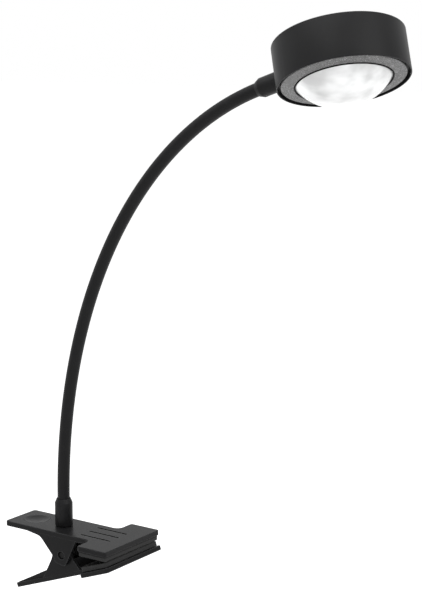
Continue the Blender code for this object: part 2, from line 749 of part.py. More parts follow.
def make_head_fixing(finishes, last_pivot, last_place):
    """The collar at the neck's end, whose stud holds the head between a washer and a nut."""
    flipped = Matrix.Translation((0, 0, HEAD_COLLAR_LENGTH)) @ Matrix.Rotation(math.pi, 4, "X")
    on_neck = last_place.inverted() @ NECK_END
    stud = SEAT + HEAD_WALL + SEAT + WASHER + SEAT + NUT_HEIGHT + STUD_PROUD
    add_object("head_collar", turned(collar_profile(HEAD_COLLAR_LENGTH, stud), 32),
               finishes["collar"], on_neck @ flipped, last_pivot)
    wall_inside = HEAD_COLLAR_LENGTH + SEAT + HEAD_WALL
    washer_low = wall_inside + SEAT
    washer = ring_disc(STUD_HOLE, WASHER_RADIUS - 1.2 * mm, washer_low, washer_low + WASHER)
    add_object("swivel_washer", turned(washer, 32), finishes["steel"], on_neck, last_pivot)
    hex_nut("swivel_nut", on_neck @ Matrix.Translation((0, 0, washer_low + WASHER + SEAT)),
            finishes["steel"], last_pivot)


def make_housing(finishes, head):
    edge = HEAD_TOP_EDGE
    ledge_bore = RING_RADIUS - RING_SEAT
    profile = [(0, CEILING), (INSIDE, CEILING), (INSIDE, LEDGE_FACE + LEDGE + 1.3 * mm),
               (ledge_bore, LEDGE_FACE + LEDGE), (ledge_bore, LEDGE_FACE),
               (HEAD_RADIUS - RIM_WALL, LEDGE_FACE), (HEAD_RADIUS - RIM_WALL, RIM),
               (HEAD_RADIUS - 0.3 * mm, RIM), (HEAD_RADIUS, RIM + 0.3 * mm)]
    profile += arc((HEAD_RADIUS - edge, ROOF - edge), edge, 0, math.pi / 2, 3) + [(0, ROOF)]
    housing = add_object("head_housing", turned(profile, HEAD_SIDES), finishes["housing"],
                         parent=head)
    for index, angle in enumerate(boss_angles()):
        top = CEILING + 0.5 * HEAD_WALL
        place = Matrix.Translation((BOSS_CIRCLE * math.cos(angle), BOSS_CIRCLE * math.sin(angle),
                                    0))
        boss = turned(ring_disc(SCREW_RADIUS + SEAT, BOSS_RADIUS, SPREADER_TOP + SEAT, top), 20)
        combine(housing, add_object(f"boss_{index + 1}", boss, None, place, head), "UNION")
    seat_pad = turned([(0, 0), (WASHER_RADIUS, 0), (WASHER_RADIUS, 3 * HEAD_WALL),
                       (0, 3 * HEAD_WALL)], 32)
    along = Matrix.Rotation(math.pi / 2, 4, "Y")
    inner_face = Matrix.Translation((-HEAD_RADIUS + HEAD_WALL, 0, 0)) @ along
    combine(housing, add_object("washer_spot_cut", seat_pad, None, inner_face, head),
            "DIFFERENCE")
    hole = turned([(0, -HEAD_WALL), (STUD_HOLE, -HEAD_WALL), (STUD_HOLE, 3 * HEAD_WALL),
                   (0, 3 * HEAD_WALL)], 24)
    outer_face = Matrix.Translation((-HEAD_RADIUS, 0, 0)) @ along
    combine(housing, add_object("collar_hole_cut", hole, None, outer_face, head), "DIFFERENCE")


def boss_angles():
    return [k * 120 * deg for k in range(3)]


def make_front(finishes, head):
    """Trim ring, gasket and domed lens."""
    chamfer = 0.4 * mm
    proud = RING_FRONT - RING_CONE
    ring = [(RING_BORE, RING_BACK), (RING_BORE, proud + chamfer), (RING_BORE + chamfer, proud),
            (RING_RADIUS - chamfer, RING_FRONT), (RING_RADIUS, RING_FRONT + chamfer),
            (RING_RADIUS, RING_BACK)]
    add_object("trim_ring", turned(ring, HEAD_SIDES), finishes["grain"], parent=head)
    lip_bore = LENS_RADIUS + SEAT
    lip = lip_bore + GASKET
    gasket = [(lip_bore, LENS_EDGE), (lip, LENS_EDGE), (lip, LEDGE_FACE),
              (FLANGE_RADIUS, LEDGE_FACE), (FLANGE_RADIUS, LEDGE_FACE + GASKET_FLANGE),
              (lip_bore, LEDGE_FACE + GASKET_FLANGE)]
    add_object("lens_gasket", turned(gasket, HEAD_SIDES), finishes["rubber"], parent=head)
    add_object("lens", turned(lens_profile(), HEAD_SIDES), finishes["lens"], parent=head)


def lens_profile():
    """A dome shell with a cylindrical edge and a flange that the gasket holds."""
    ball = (LENS_RADIUS ** 2 + LENS_DOME ** 2) / (2 * LENS_DOME)
    middle = LENS_EDGE - LENS_DOME + ball
    start = math.atan2(LENS_EDGE - middle, LENS_RADIUS)
    outside = arc((0, middle), ball, start, -math.pi / 2, 6)
    outside[-1] = (0, LENS_EDGE - LENS_DOME)
    bore = LENS_RADIUS - LENS_WALL
    shell = ball - LENS_WALL
    turn = -math.acos(bore / shell)
    inside = arc((0, middle), shell, turn, -math.pi / 2, 4)
    inside[-1] = (0, LENS_EDGE - LENS_DOME + LENS_WALL)
    edge = [(bore, LENS_BACK), (FLANGE_RADIUS, LENS_BACK), (FLANGE_RADIUS, LENS_SEAT),
            (LENS_RADIUS, LENS_SEAT)]
    return list(reversed(inside)) + edge + outside


def make_reflector(finishes, head):
    low = LENS_BACK + SEAT
    high = BOARD_FACE - SEAT
    mouth = LENS_RADIUS - LENS_WALL - 0.4 * mm
    steps = 5
    inner = []
    for step in range(steps + 1):
        share = step / steps
        radius = mouth + (REFLECTOR_THROAT - mouth) * share
        inner.append((radius, low + (high - low) * share ** 1.6))
    outer = [(radius + REFLECTOR_WALL, height) for radius, height in inner[1:]]
    lip = low + REFLECTOR_WALL
    shell = inner + list(reversed(outer))
    shell += [(mouth + REFLECTOR_WALL, lip), (FLANGE_RADIUS, lip), (FLANGE_RADIUS, low)]
    add_object("reflector", turned(shell, 36), finishes["mirror"], parent=head)


def make_light_engine(finishes, head):
    """Heat spreader with its screws, the LED board, the emitter and the driver board."""
    spreader = prism(polygon(SPREADER_RADIUS, 48), SPREADER_ABOVE, SPREADER_TOP)
    disc = add_object("heat_spreader", spreader, finishes["aluminium"], parent=head)
    for index, angle in enumerate(boss_angles()):
        spot = Matrix.Translation((BOSS_CIRCLE * math.cos(angle), BOSS_CIRCLE * math.sin(angle),
                                   0))
        hole = turned([(0, SPREADER_ABOVE - 1 * mm), (SCREW_RADIUS + SEAT, SPREADER_ABOVE - 1 * mm),
                       (SCREW_RADIUS + SEAT, SPREADER_TOP + 1 * mm), (0, SPREADER_TOP + 1 * mm)],
                      16)
        combine(disc, add_object(f"spreader_hole_{index + 1}", hole, None, spot, head),
                "DIFFERENCE")
        under = SPREADER_ABOVE - SEAT
        tip = CEILING - SEAT
        screw = [(0, under - 1.6 * mm), (SCREW_HEAD - 0.4 * mm, under - 1.6 * mm),
                 (SCREW_HEAD, under - 1.1 * mm), (SCREW_HEAD, under), (SCREW_RADIUS, under),
                 (SCREW_RADIUS, tip - 0.6 * mm), (SCREW_RADIUS - 0.5 * mm, tip), (0, tip)]
        add_object(f"spreader_screw_{index + 1}", turned(screw, 16), finishes["steel"], spot, head)
    board = [(0, BOARD_FACE), (LED_BOARD_RADIUS, BOARD_FACE),
             (LED_BOARD_RADIUS, BOARD_FACE + LED_BOARD), (0, BOARD_FACE + LED_BOARD)]
    add_object("led_board", turned(board, 36), finishes["board"], parent=head)
    chip_back = BOARD_FACE - SEAT
    chip = [(0, CHIP_FACE), (CHIP_RADIUS - 0.3 * mm, CHIP_FACE), (CHIP_RADIUS, CHIP_FACE + 0.3 * mm),
            (CHIP_RADIUS, chip_back), (0, chip_back)]
    add_object("led_emitter", turned(chip, 28), finishes["phosphor"], parent=head)
    make_driver(finishes, head)


def make_driver(finishes, head):
    """The driver board on top of the spreader, with its terminal block and coil, and its lead."""
    length, width, thick = DRIVER_BOARD
    low = SPREADER_TOP + SEAT
    top = low + thick
    driver = add_object("driver_board", block((-length / 2, length / 2), (-width / 2, width / 2),
                                              (low, top)), finishes["board"], parent=head,
                        smooth=False)
    blocks = {
        "terminal": ((-length / 2 + 1 * mm, -length / 2 + 7 * mm), (-5 * mm, 5 * mm)),
        "inductor": ((2 * mm, 11 * mm), (-4.5 * mm, 4.5 * mm)),
    }
    for name, (x, y) in blocks.items():
        body = block(x, y, (top - 0.4 * mm, top + COMPONENT_HEIGHT))
        combine(driver, add_object(f"driver_{name}", body, None, parent=head), "UNION")


def make_lamp():
    clear_scene()
    finishes = make_materials()
    make_upper_lever(finishes)
    make_upper_pad(finishes)
    make_touch_dish(finishes)
    hinge = axis_empty("clip_hinge", PIVOT_FRAME)
    make_lower_lever(finishes, hinge)
    make_pin(finishes)
    make_spring(finishes)
    make_base_fixing(finishes)
    last_pivot, last_place = make_neck(finishes)
    make_head_fixing(finishes, last_pivot, last_place)
    head = axis_empty("head_swivel", last_place.inverted() @ HEAD_CENTRE, last_pivot)
    make_housing(finishes, head)
    make_front(finishes, head)
    make_reflector(finishes, head)
    make_light_engine(finishes, head)


make_lamp()
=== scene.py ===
"""Looks of a clip-on reading lamp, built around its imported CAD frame.

Laid out as an add-on: property groups for the sizes and colours, one operator for each group of
pieces and one for the studio, and a sidebar panel. Run as a script, it makes the whole scene.
"""

import json
import math

import bmesh
import bpy
from bpy.props import FloatProperty, FloatVectorProperty, IntProperty, PointerProperty
from mathutils import Matrix, Vector

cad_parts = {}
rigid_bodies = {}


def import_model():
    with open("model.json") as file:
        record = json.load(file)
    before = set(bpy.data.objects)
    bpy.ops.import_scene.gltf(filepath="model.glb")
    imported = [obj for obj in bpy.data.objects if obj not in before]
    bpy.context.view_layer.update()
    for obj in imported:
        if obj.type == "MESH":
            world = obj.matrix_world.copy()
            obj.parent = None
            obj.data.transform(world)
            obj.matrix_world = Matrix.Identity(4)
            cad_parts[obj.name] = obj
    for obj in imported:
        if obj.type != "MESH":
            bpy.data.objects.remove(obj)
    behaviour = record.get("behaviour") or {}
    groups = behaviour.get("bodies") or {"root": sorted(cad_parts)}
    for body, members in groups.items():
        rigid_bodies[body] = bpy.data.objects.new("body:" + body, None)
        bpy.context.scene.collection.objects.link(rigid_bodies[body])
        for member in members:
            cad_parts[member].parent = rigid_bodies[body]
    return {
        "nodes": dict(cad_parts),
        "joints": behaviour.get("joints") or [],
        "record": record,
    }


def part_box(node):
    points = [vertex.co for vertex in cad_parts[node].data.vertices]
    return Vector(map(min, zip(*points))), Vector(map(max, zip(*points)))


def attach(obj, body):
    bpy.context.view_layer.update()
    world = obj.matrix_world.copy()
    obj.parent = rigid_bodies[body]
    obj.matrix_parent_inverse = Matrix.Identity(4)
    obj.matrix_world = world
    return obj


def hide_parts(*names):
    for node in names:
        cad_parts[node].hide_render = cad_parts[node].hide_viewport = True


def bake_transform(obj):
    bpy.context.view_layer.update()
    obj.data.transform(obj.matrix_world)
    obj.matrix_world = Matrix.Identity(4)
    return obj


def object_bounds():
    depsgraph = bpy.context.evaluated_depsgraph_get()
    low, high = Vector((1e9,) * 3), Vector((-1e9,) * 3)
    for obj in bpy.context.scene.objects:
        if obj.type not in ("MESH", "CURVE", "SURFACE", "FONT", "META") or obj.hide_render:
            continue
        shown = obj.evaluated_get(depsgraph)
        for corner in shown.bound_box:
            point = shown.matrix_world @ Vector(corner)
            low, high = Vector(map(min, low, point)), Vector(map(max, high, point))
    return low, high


bl_info = {
    "name": "Clip-on reading lamp",
    "version": (1, 0, 0),
    "blender": (4, 5, 0),
    "location": "3D View > Sidebar > Reading Lamp",
    "description": "Finishes and fine pieces of a clip-on reading lamp, with its studio",
    "category": "Object",
}

for leftover in list(bpy.data.objects):
    bpy.data.objects.remove(leftover, do_unlink=True)

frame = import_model()
CAD_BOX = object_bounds()

mm = 0.001
deg = math.pi / 180

SEAT = 0.3 * mm                  # gap between two pieces that rest on each other
NECK_LINKS = 10
SHARP = 35 * deg                 # edges that turn further than this stay crisp


# ---- Places, all from the frame ------------------------------------------------------------

def joint(name):
    return next(entry for entry in frame["joints"] if entry["name"] == name)


def mount(name):
    return next(entry for entry in frame["record"]["mounts"] if entry["name"] == name)


def local_box(node, place):
    """Lowest and highest corner of a CAD node in the frame of a piece."""
    back = place.inverted()
    points = [back @ vertex.co for vertex in frame["nodes"][node].data.vertices]
    low = Vector([min(point[axis] for point in points) for axis in range(3)])
    high = Vector([max(point[axis] for point in points) for axis in range(3)])
    return low, high


def pin_place():
    return Matrix.Translation(joint("clip_open")["pos_m"])


def lower_tilt():
    """The lower lever's angle at rest, from its flat underside."""
    return math.asin(mount("lever_underside")["axis"][0])


def lower_place():
    return pin_place() @ Matrix.Rotation(-lower_tilt(), 4, "Y")


def middle_place(node):
    """An upright frame on the middle of a node, at the height of its lowest point."""
    low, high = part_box(node)
    return Matrix.Translation(((low.x + high.x) / 2, (low.y + high.y) / 2, low.z))


def neck_end_place():
    """The end of the neck, with Z along the collar."""
    twist = joint("head_twist")
    lean = math.atan2(twist["axis"][0], twist["axis"][2])
    return Matrix.Translation(twist["pos_m"]) @ Matrix.Rotation(lean, 4, "Y")


def head_place():
    """The head's frame: Z is its axis, X runs away from the collar, and height 0 is the collar's."""
    sizes = bpy.context.scene.lamp_sizes
    end = neck_end_place()
    turn = end.to_3x3().to_4x4() @ Matrix.Rotation(-math.pi / 2, 4, "Y")
    turn = turn @ Matrix.Rotation(-sizes.head_roll, 4, "X")
    low, high = local_box("head_housing", turn)
    centre = (low + high) / 2
    centre.z = (turn.inverted() @ end.translation).z
    return Matrix.Translation(turn @ centre) @ turn


# ---- Modelling helpers ---------------------------------------------------------------------

def arc(middle, radius, start, end, steps):
    """Points on a circle in the (radius, height) plane, angles from the outward direction."""
    turns = [start + (end - start) * step / steps for step in range(steps + 1)]
    return [(middle[0] + radius * math.cos(t), middle[1] + radius * math.sin(t)) for t in turns]


def rounded(corners, arc_steps=6):
    """A closed outline from (u, v, radius) corners, each rounded by an arc of its radius."""
    points = []
    count = len(corners)
    for index, (u, v, radius) in enumerate(corners):
        here = Vector((u, v))
        if radius <= 0:
            points.append(here)
            continue
        before = (Vector(corners[index - 1][:2]) - here).normalized()
        after = (Vector(corners[(index + 1) % count][:2]) - here).normalized()
        half = before.angle(after) / 2
        middle = here + (before + after).normalized() * radius / math.sin(half)
        start = here + before * radius / math.tan(half) - middle
        turn = start.angle_signed(here + after * radius / math.tan(half) - middle)
        for step in range(arc_steps + 1):
            spun = start.copy()
            spun.rotate(Matrix.Rotation(-turn * step / arc_steps, 2))
            points.append(middle + spun)
    return points


def turned(profile, sides):
    """Turn (radius, height) points about Z. A profile off the axis is closed into a ring."""
    bm = bmesh.new()
    rings = []
    for radius, height in profile:
        if radius == 0:
            rings.append([bm.verts.new((0, 0, height))])
            continue
        turns = [2 * math.pi * k / sides for k in range(sides)]
        rings.append([
            bm.verts.new((radius * math.cos(t), radius * math.sin(t), height)) for t in turns
        ])
    pairs = list(zip(rings, rings[1:]))
    if len(rings[0]) > 1:
        pairs.append((rings[-1], rings[0]))
    for lower, upper in pairs:
        for k in range(sides):
            after = (k + 1) % sides
            corners = [lower[k % len(lower)], lower[after % len(lower)],
                       upper[after % len(upper)], upper[k % len(upper)]]
            bm.faces.new(list(dict.fromkeys(corners)))
    return bm


def swept(loops, closed=False):
    """Skin over rings of points: capped at both ends, or joined from the last to the first."""
    bm = bmesh.new()
    rings = [[bm.verts.new(point) for point in loop] for loop in loops]
    pairs = list(zip(rings, rings[1:] + rings[:1])) if closed else list(zip(rings, rings[1:]))
    sides = len(rings[0])
    for near, far in pairs:
        for k in range(sides):
            after = (k + 1) % sides
            bm.faces.new((near[k], near[after], far[after], far[k]))
    if not closed:
        bm.faces.new(rings[0])
        bm.faces.new(rings[-1])
    return bm


def prism(outline, low, high, edge=0.0, edge_steps=3):
    """Extrude an outline in the XY plane from low to high and round its long edges."""
    bm = bmesh.new()
    bottom = bm.faces.new([bm.verts.new((point[0], point[1], low)) for point in outline])
    grown = bmesh.ops.extrude_face_region(bm, geom=[bottom])
    lifted = [item for item in grown["geom"] if isinstance(item, bmesh.types.BMVert)]
    bmesh.ops.translate(bm, verts=lifted, vec=(0, 0, high - low))
    if edge > 0:
        caps = {face for face in bm.faces if len(face.verts) == len(outline)}
        rims = [e for e in bm.edges if sum(face in caps for face in e.link_faces) == 1]
        bmesh.ops.bevel(bm, geom=rims, offset=edge, segments=edge_steps, profile=0.5,
                        affect="EDGES")
    return bm


def add_piece(name, bm, place, slot):
    """Turn a bmesh into a shaded object at its place, with the finish of a material slot."""
    bmesh.ops.recalc_face_normals(bm, faces=bm.faces)
    mesh = bpy.data.meshes.new(name)
    bm.to_mesh(mesh)
    bm.free()
    mesh.transform(place)
    mesh.shade_smooth()
    mesh.set_sharp_from_angle(angle=SHARP)
    made = bpy.data.objects.new(name, mesh)
    bpy.context.scene.collection.objects.link(made)
    if slot:
        mesh.materials.append(finish(slot))
    return made


def carve(piece, tools):
    """Apply (bmesh, place, operation) Booleans to a piece and keep only the result."""
    for bm, place, operation in tools:
        tool = add_piece("tool", bm, place, None)
        step = piece.modifiers.new("cut", "BOOLEAN")
        step.operation = operation
        step.object = tool
        bpy.context.view_layer.update()
        graph = bpy.context.evaluated_depsgraph_get()
        result = bpy.data.meshes.new_from_object(piece.evaluated_get(graph))
        piece.modifiers.remove(step)
        piece.data = result
        bpy.data.objects.remove(tool, do_unlink=True)
    piece.data.shade_smooth()
    piece.data.set_sharp_from_angle(angle=SHARP)


def stand_for(piece, body, *nodes):
    """The piece rides on a body and shows in place of CAD nodes."""
    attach(piece, body)
    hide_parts(*nodes)
    return piece


def turned_piece(name, profile, place, slot, node):
    """A turned piece of the head that shows in place of a CAD node."""
    sides = bpy.context.scene.lamp_sizes.sides
    return stand_for(add_piece(name, turned(profile, sides), place, slot), "head", node)


def dress(slot, *nodes):
    """Give CAD nodes, whose shapes stay, the finish of a material slot."""
    for node in nodes:
        shown = frame["nodes"][node]
        for holder in shown.material_slots:
            holder.material = finish(slot)


# ---- Shader maths --------------------------------------------------------------------------

class Signal:
    """A node's output that takes part in sums and products by adding Math nodes."""

    def __init__(self, build, socket):
        self.build = build
        self.socket = socket

    def _math(self, operation, first, second):
        return self.build.node("ShaderNodeMath", {"operation": operation}, {0: first, 1: second})

    def __add__(self, other):
        return self._math("ADD", self, other)

    __radd__ = __add__

    def __sub__(self, other):
        return self._math("SUBTRACT", self, other)

    def __rsub__(self, other):
        return self._math("SUBTRACT", other, self)

    def __mul__(self, other):
        return self._math("MULTIPLY", self, other)

    __rmul__ = __mul__


class NodeTree:
    """A node tree under construction, of a material or of the sky."""

    def __init__(self, tree):
        self.tree = tree

    def node(self, kind, settings=None, values=None, output=0):
        """Any node: its settings come first, then the values or links of its sockets."""
        made = self.tree.nodes.new(kind)
        for name, value in (settings or {}).items():
            setattr(made, name, value)
        for name, value in (values or {}).items():
            self._feed(made.inputs[name], value)
        return Signal(self, made.outputs[output])

    def _feed(self, socket, value):
        if isinstance(value, Signal):
            self.tree.links.new(value.socket, socket)
        elif socket.type == "RGBA" and len(value) == 3:
            socket.default_value = (*value, 1.0)
        else:
            socket.default_value = value

    def seen_directly(self):
        """1 for what the camera, a reflection or a view through glass sees, 0 for lighting."""
        rays = [self.node("ShaderNodeLightPath", output=name)
                for name in ("Is Camera Ray", "Is Glossy Ray", "Is Transmission Ray")]
        return self.node("ShaderNodeMath", {"operation": "MINIMUM"},
                         {0: rays[0] + rays[1] + rays[2], 1: 1.0})


class Shader(NodeTree):
    """One material under construction, with a Principled shader at its end."""

    def __init__(self, name):
        self.material = bpy.data.materials.new(name)
        self.material.use_nodes = True
        super().__init__(self.material.node_tree)

    def surface(self, **values):
        """Set inputs of the shader; base_color stands for Base Color, and so on."""
        principled = self.tree.nodes["Principled BSDF"]
        names = {socket.name.lower().replace(" ", "_"): socket for socket in principled.inputs}
        for name, value in values.items():
            self._feed(names[name], value)

    def place(self):
        return self.node("ShaderNodeTexCoord", output="Object")

    def noise(self, size, detail=2.0, roughness=0.5, stretch=None):
        """Noise from 0 to 1 whose features are about as large as size, in metres."""
        where = self.place()
        if stretch:
            where = self.node("ShaderNodeVectorMath", {"operation": "MULTIPLY"},
                              {0: where, 1: stretch})
        return self.node("ShaderNodeTexNoise", {},
                         {"Vector": where, "Scale": 1 / size, "Detail": detail,
                          "Roughness": roughness})

    def cells(self, size, output="Color"):
        return self.node("ShaderNodeTexVoronoi", {}, {"Vector": self.place(), "Scale": 1 / size},
                         output)

    def between(self, signal, low, high):
        """The signal rescaled so that low gives 0 and high gives 1, and held there."""
        return self.node("ShaderNodeMapRange", {"clamp": True},
                         {"Value": signal, "From Min": low, "From Max": high})

    def mix(self, factor, first, second):
        """Two colours mixed by a signal."""
        return self.node("ShaderNodeMix", {"data_type": "RGBA"},
                         {0: factor, 6: first, 7: second}, 2)

    def bump(self, height, depth, strength=1.0, under=None):
        """A normal from a height signal; depth is how many metres a height of 1 stands for."""
        values = {"Strength": strength, "Distance": depth, "Height": height}
        if under:
            values["Normal"] = under
        return self.node("ShaderNodeBump", {}, values)

    def patchy_edge_mask(self, patch):
        """Up to 1 along outer edges, in patches of a size, 0 elsewhere; it places painted edge
        highlights.
        """
        bent = self.node("ShaderNodeNewGeometry", output="Pointiness")
        return self.between(bent, 0.52, 0.62) * self.between(self.noise(patch), 0.35, 0.65)

    def edges(self, width):
        """1 on the outer corners of a moulding within a width, 0 on its faces and in its hollows."""
        rounded_off = self.node("ShaderNodeBevel", {"samples": 6}, {"Radius": width})
        flat = self.node("ShaderNodeNewGeometry", output="Normal")
        turn = self.node("ShaderNodeVectorMath", {"operation": "DOT_PRODUCT"},
                         {0: rounded_off, 1: flat}, "Value")
        open_air = self.node("ShaderNodeAmbientOcclusion", {"samples": 6, "only_local": True},
                             {"Distance": 2 * width}, "AO")
        return self.between(1 - turn, 0.01, 0.08) * self.between(open_air, 0.8, 0.95)


def shade(colour, factor):
    return tuple(min(1.0, channel * factor) for channel in colour)


# ---- Finishes ------------------------------------------------------------------------------

def moulded_black(shader, colour):
    """Spark-eroded matte plastic: fine pits, faint flow marks, and a painted highlight along the
    outer edges, which are also a little less rough.
    """
    pits = shader.noise(0.22 * mm, 2.0, 0.6)
    flow = shader.noise(14 * mm, 3.0, 0.55)
    painted_highlight = shader.edges(1.0 * mm)
    tone = shader.between(flow * 0.7 + pits * 0.3, 0.3, 0.7)
    base = shader.mix(tone, shade(colour, 0.82), shade(colour, 1.15))
    # painted highlight: the outer edges are lightened up to seven times the base colour
    base = shader.mix(painted_highlight * 0.7, base, shade(colour, 7.0))
    shader.surface(base_color=base, roughness=0.3 + flow * 0.08 - painted_highlight * 0.06,
                   specular_ior_level=0.08, normal=shader.bump(pits, 0.035 * mm, 0.55))


def jaw_rubber(shader, colour):
    """Dull rubber with a powdery bloom."""
    grain = shader.noise(0.3 * mm, 3.0, 0.6)
    bloom = shader.between(shader.noise(6 * mm, 4.0, 0.6), 0.35, 0.75)
    base = shader.mix(bloom, shade(colour, 0.8), shade(colour, 1.5))
    shader.surface(base_color=base, roughness=0.74 + bloom * 0.12, specular_ior_level=0.25,
                   normal=shader.bump(grain, 0.03 * mm, 0.6))


def zinc_steel(shader, colour):
    """Zinc-plated steel: cloudy crystals over fine turning marks."""
    cloud = shader.noise(1.6 * mm, 4.0, 0.6)
    scratch = shader.noise(0.15 * mm, 2.0, 0.5, (1.0, 0.12, 1.0))
    base = shader.mix(shader.between(cloud, 0.35, 0.65), shade(colour, 0.85), shade(colour, 1.12))
    shader.surface(base_color=base, metallic=1.0, roughness=0.26 + cloud * 0.16,
                   normal=shader.bump(scratch, 0.01 * mm, 0.4))


def black_steel(shader, colour):
    """Oil-blackened steel, a little paler where the oil has dried."""
    cloud = shader.noise(2.0 * mm, 4.0, 0.6)
    base = shader.mix(shader.between(cloud, 0.35, 0.7), colour, shade(colour, 1.8))
    shader.surface(base_color=base, metallic=0.85, roughness=0.42 + cloud * 0.15,
                   normal=shader.bump(shader.noise(0.2 * mm), 0.01 * mm, 0.4))


def anodised_black(shader, colour):
    """Satin black collar with faint lathe lines and a painted highlight along its edges."""
    turning = shader.noise(0.18 * mm, 2.0, 0.6, (0.05, 0.05, 1.0))
    cloud = shader.noise(5 * mm, 3.0, 0.5)
    painted_highlight = shader.patchy_edge_mask(1.5 * mm)
    base = shader.mix(shader.between(cloud, 0.35, 0.65), shade(colour, 0.85), shade(colour, 1.2))
    # painted highlight: the edges, in patches, lightened up to three times the base colour
    base = shader.mix(painted_highlight * 0.6, base, shade(colour, 3.0))
    shader.surface(base_color=base, roughness=0.36 + cloud * 0.08 - painted_highlight * 0.08,
                   specular_ior_level=0.1, normal=shader.bump(turning, 0.006 * mm, 0.4))


def sleeve_black(shader, colour):
    """Smooth silicone sleeve: a soft satin skin with the faint ripple of the coil inside."""
    skin = shader.noise(0.25 * mm, 2.0, 0.5)
    ripple = shader.noise(3.2 * mm, 2.0, 0.45)
    dust = shader.between(shader.noise(9 * mm, 5.0, 0.65), 0.5, 0.8)
    base = shader.mix(dust, shade(colour, 0.9), shade(colour, 1.35))
    fine = shader.bump(skin, 0.012 * mm, 0.5)
    shader.surface(base_color=base, roughness=0.42 + dust * 0.1, specular_ior_level=0.1,
                   normal=shader.bump(ripple, 0.05 * mm, 0.35, fine))


def cable_jacket(shader, colour):
    """Glossy flexible jacket with slight drawing marks."""
    marks = shader.noise(0.5 * mm, 2.0, 0.5)
    base = shader.mix(marks, shade(colour, 0.8), shade(colour, 1.3))
    shader.surface(base_color=base, roughness=0.28 + marks * 0.1,
                   normal=shader.bump(marks, 0.02 * mm, 0.3))


def powder_coat(shader, colour):
    """Satin powder coat: a fine orange peel and a painted highlight along the edges."""
    peel = shader.noise(0.7 * mm, 2.0, 0.5)
    speck = shader.noise(0.2 * mm, 1.0, 0.5)
    cloud = shader.noise(24 * mm, 3.0, 0.5)
    painted_highlight = shader.patchy_edge_mask(2.0 * mm)
    base = shader.mix(shader.between(cloud, 0.35, 0.65), shade(colour, 0.92), shade(colour, 1.1))
    # painted highlight: the edges, in patches, lightened up to 2.2 times the base colour
    base = shader.mix(painted_highlight * 0.45, base, shade(colour, 2.2))
    fine = shader.bump(speck, 0.01 * mm, 0.4)
    shader.surface(base_color=base, roughness=0.38 + cloud * 0.06, specular_ior_level=0.1,
                   normal=shader.bump(peel, 0.02 * mm, 0.4, fine))


def sparkle_grain(shader, colour):
    """Grey textured ring: close crystals, each a little lighter or darker, a few that glint."""
    grain = shader.cells(0.34 * mm)
    level = shader.node("ShaderNodeSeparateColor", {}, {"Color": grain})
    glint = shader.between(level, 0.82, 0.95)
    base = shader.mix(level, shade(colour, 0.55), shade(colour, 1.5))
    base = shader.mix(glint, base, shade(colour, 2.9))
    height = level * 0.6 + shader.noise(0.15 * mm) * 0.4
    shader.surface(base_color=base, roughness=0.62 - glint * 0.3, metallic=glint * 0.7,
                   specular_ior_level=0.4, normal=shader.bump(height, 0.05 * mm, 0.6))


def soft_rubber(shader, colour):
    """Plain black gasket rubber."""
    grain = shader.noise(0.25 * mm, 2.0, 0.5)
    shader.surface(base_color=shader.mix(grain, shade(colour, 0.7), shade(colour, 1.4)),
                   roughness=0.68 + grain * 0.1, specular_ior_level=0.2,
                   normal=shader.bump(grain, 0.02 * mm, 0.4))


def dome_glass(shader, colour):
    """Thick moulded glass with painted light: an emission glow in its colour, soft lighter and
    darker patches, and painted shade along its outline.
    """
    broad_patches = shader.noise(30 * mm, 3.0, 0.5, (1.0, 1.3, 1.6))
    streak = shader.noise(14 * mm, 2.0, 0.5, (0.6, 1.7, 1.2))
    patch_tone = shader.between(broad_patches * 0.75 + streak * 0.25, 0.40, 0.62)
    # painted shade: colour and glow darker towards the outline, where the surface turns away
    side = shader.node("ShaderNodeLayerWeight", {}, {"Blend": 0.5}, "Facing")
    rim = shader.between(side, 0.82, 1.0)
    base = shader.mix(patch_tone, shade(colour, 0.64), shade(colour, 0.93))
    base = shader.mix(rim, base, shade(colour, 0.5))
    # painted light: an emission glow that stands in for light falling on the lens
    glow = shader.mix(patch_tone, shade(colour, 0.5), colour)
    glow = shader.mix(rim, glow, shade(colour, 0.3))
    shader.surface(base_color=base, roughness=0.06 + (1 - patch_tone) * 0.08, ior=1.5,
                   transmission_weight=0.4, emission_color=glow, emission_strength=0.27,
                   coat_weight=0.4, coat_roughness=0.03,
                   normal=shader.bump(streak, 0.25 * mm, 0.25))


def polished_mirror(shader, colour):
    """Vacuum-coated reflector with an eggshell surface."""
    shell = shader.noise(1.8 * mm, 2.0, 0.5)
    base = shader.mix(shader.noise(10 * mm), shade(colour, 0.95), shade(colour, 1.05))
    shader.surface(base_color=base, metallic=1.0, roughness=0.1 + shell * 0.1,
                   normal=shader.bump(shell, 0.08 * mm, 0.35))


def solder_mask(shader, colour):
    """Circuit board lacquer over the weave of the glass cloth."""
    weave = shader.noise(0.5 * mm, 2.0, 0.6)
    tracks = shader.between(shader.cells(2.4 * mm, "Distance"), 0.28, 0.32)
    base = shader.mix(tracks, colour, shade(colour, 1.5))
    shader.surface(base_color=base, roughness=0.32 + weave * 0.12,
                   normal=shader.bump(tracks + weave * 0.3, 0.03 * mm, 0.5))


def phosphor_yellow(shader, colour):
    """Silicone phosphor over the chips, a soft glow when lit."""
    speck = shader.noise(0.4 * mm, 3.0, 0.6)
    base = shader.mix(speck, shade(colour, 0.85), shade(colour, 1.1))
    shader.surface(base_color=base, roughness=0.4 + speck * 0.15, emission_color=(1, 0.97, 0.9),
                   emission_strength=0.8, normal=shader.bump(speck, 0.02 * mm, 0.4))


def turned_aluminium(shader, colour):
    """Bare turned aluminium with ring marks."""
    marks = shader.noise(0.3 * mm, 2.0, 0.6)
    base = shader.mix(shader.noise(8 * mm), shade(colour, 0.9), shade(colour, 1.05))
    shader.surface(base_color=base, metallic=1.0, roughness=0.3 + marks * 0.15,
                   normal=shader.bump(marks, 0.01 * mm, 0.4))


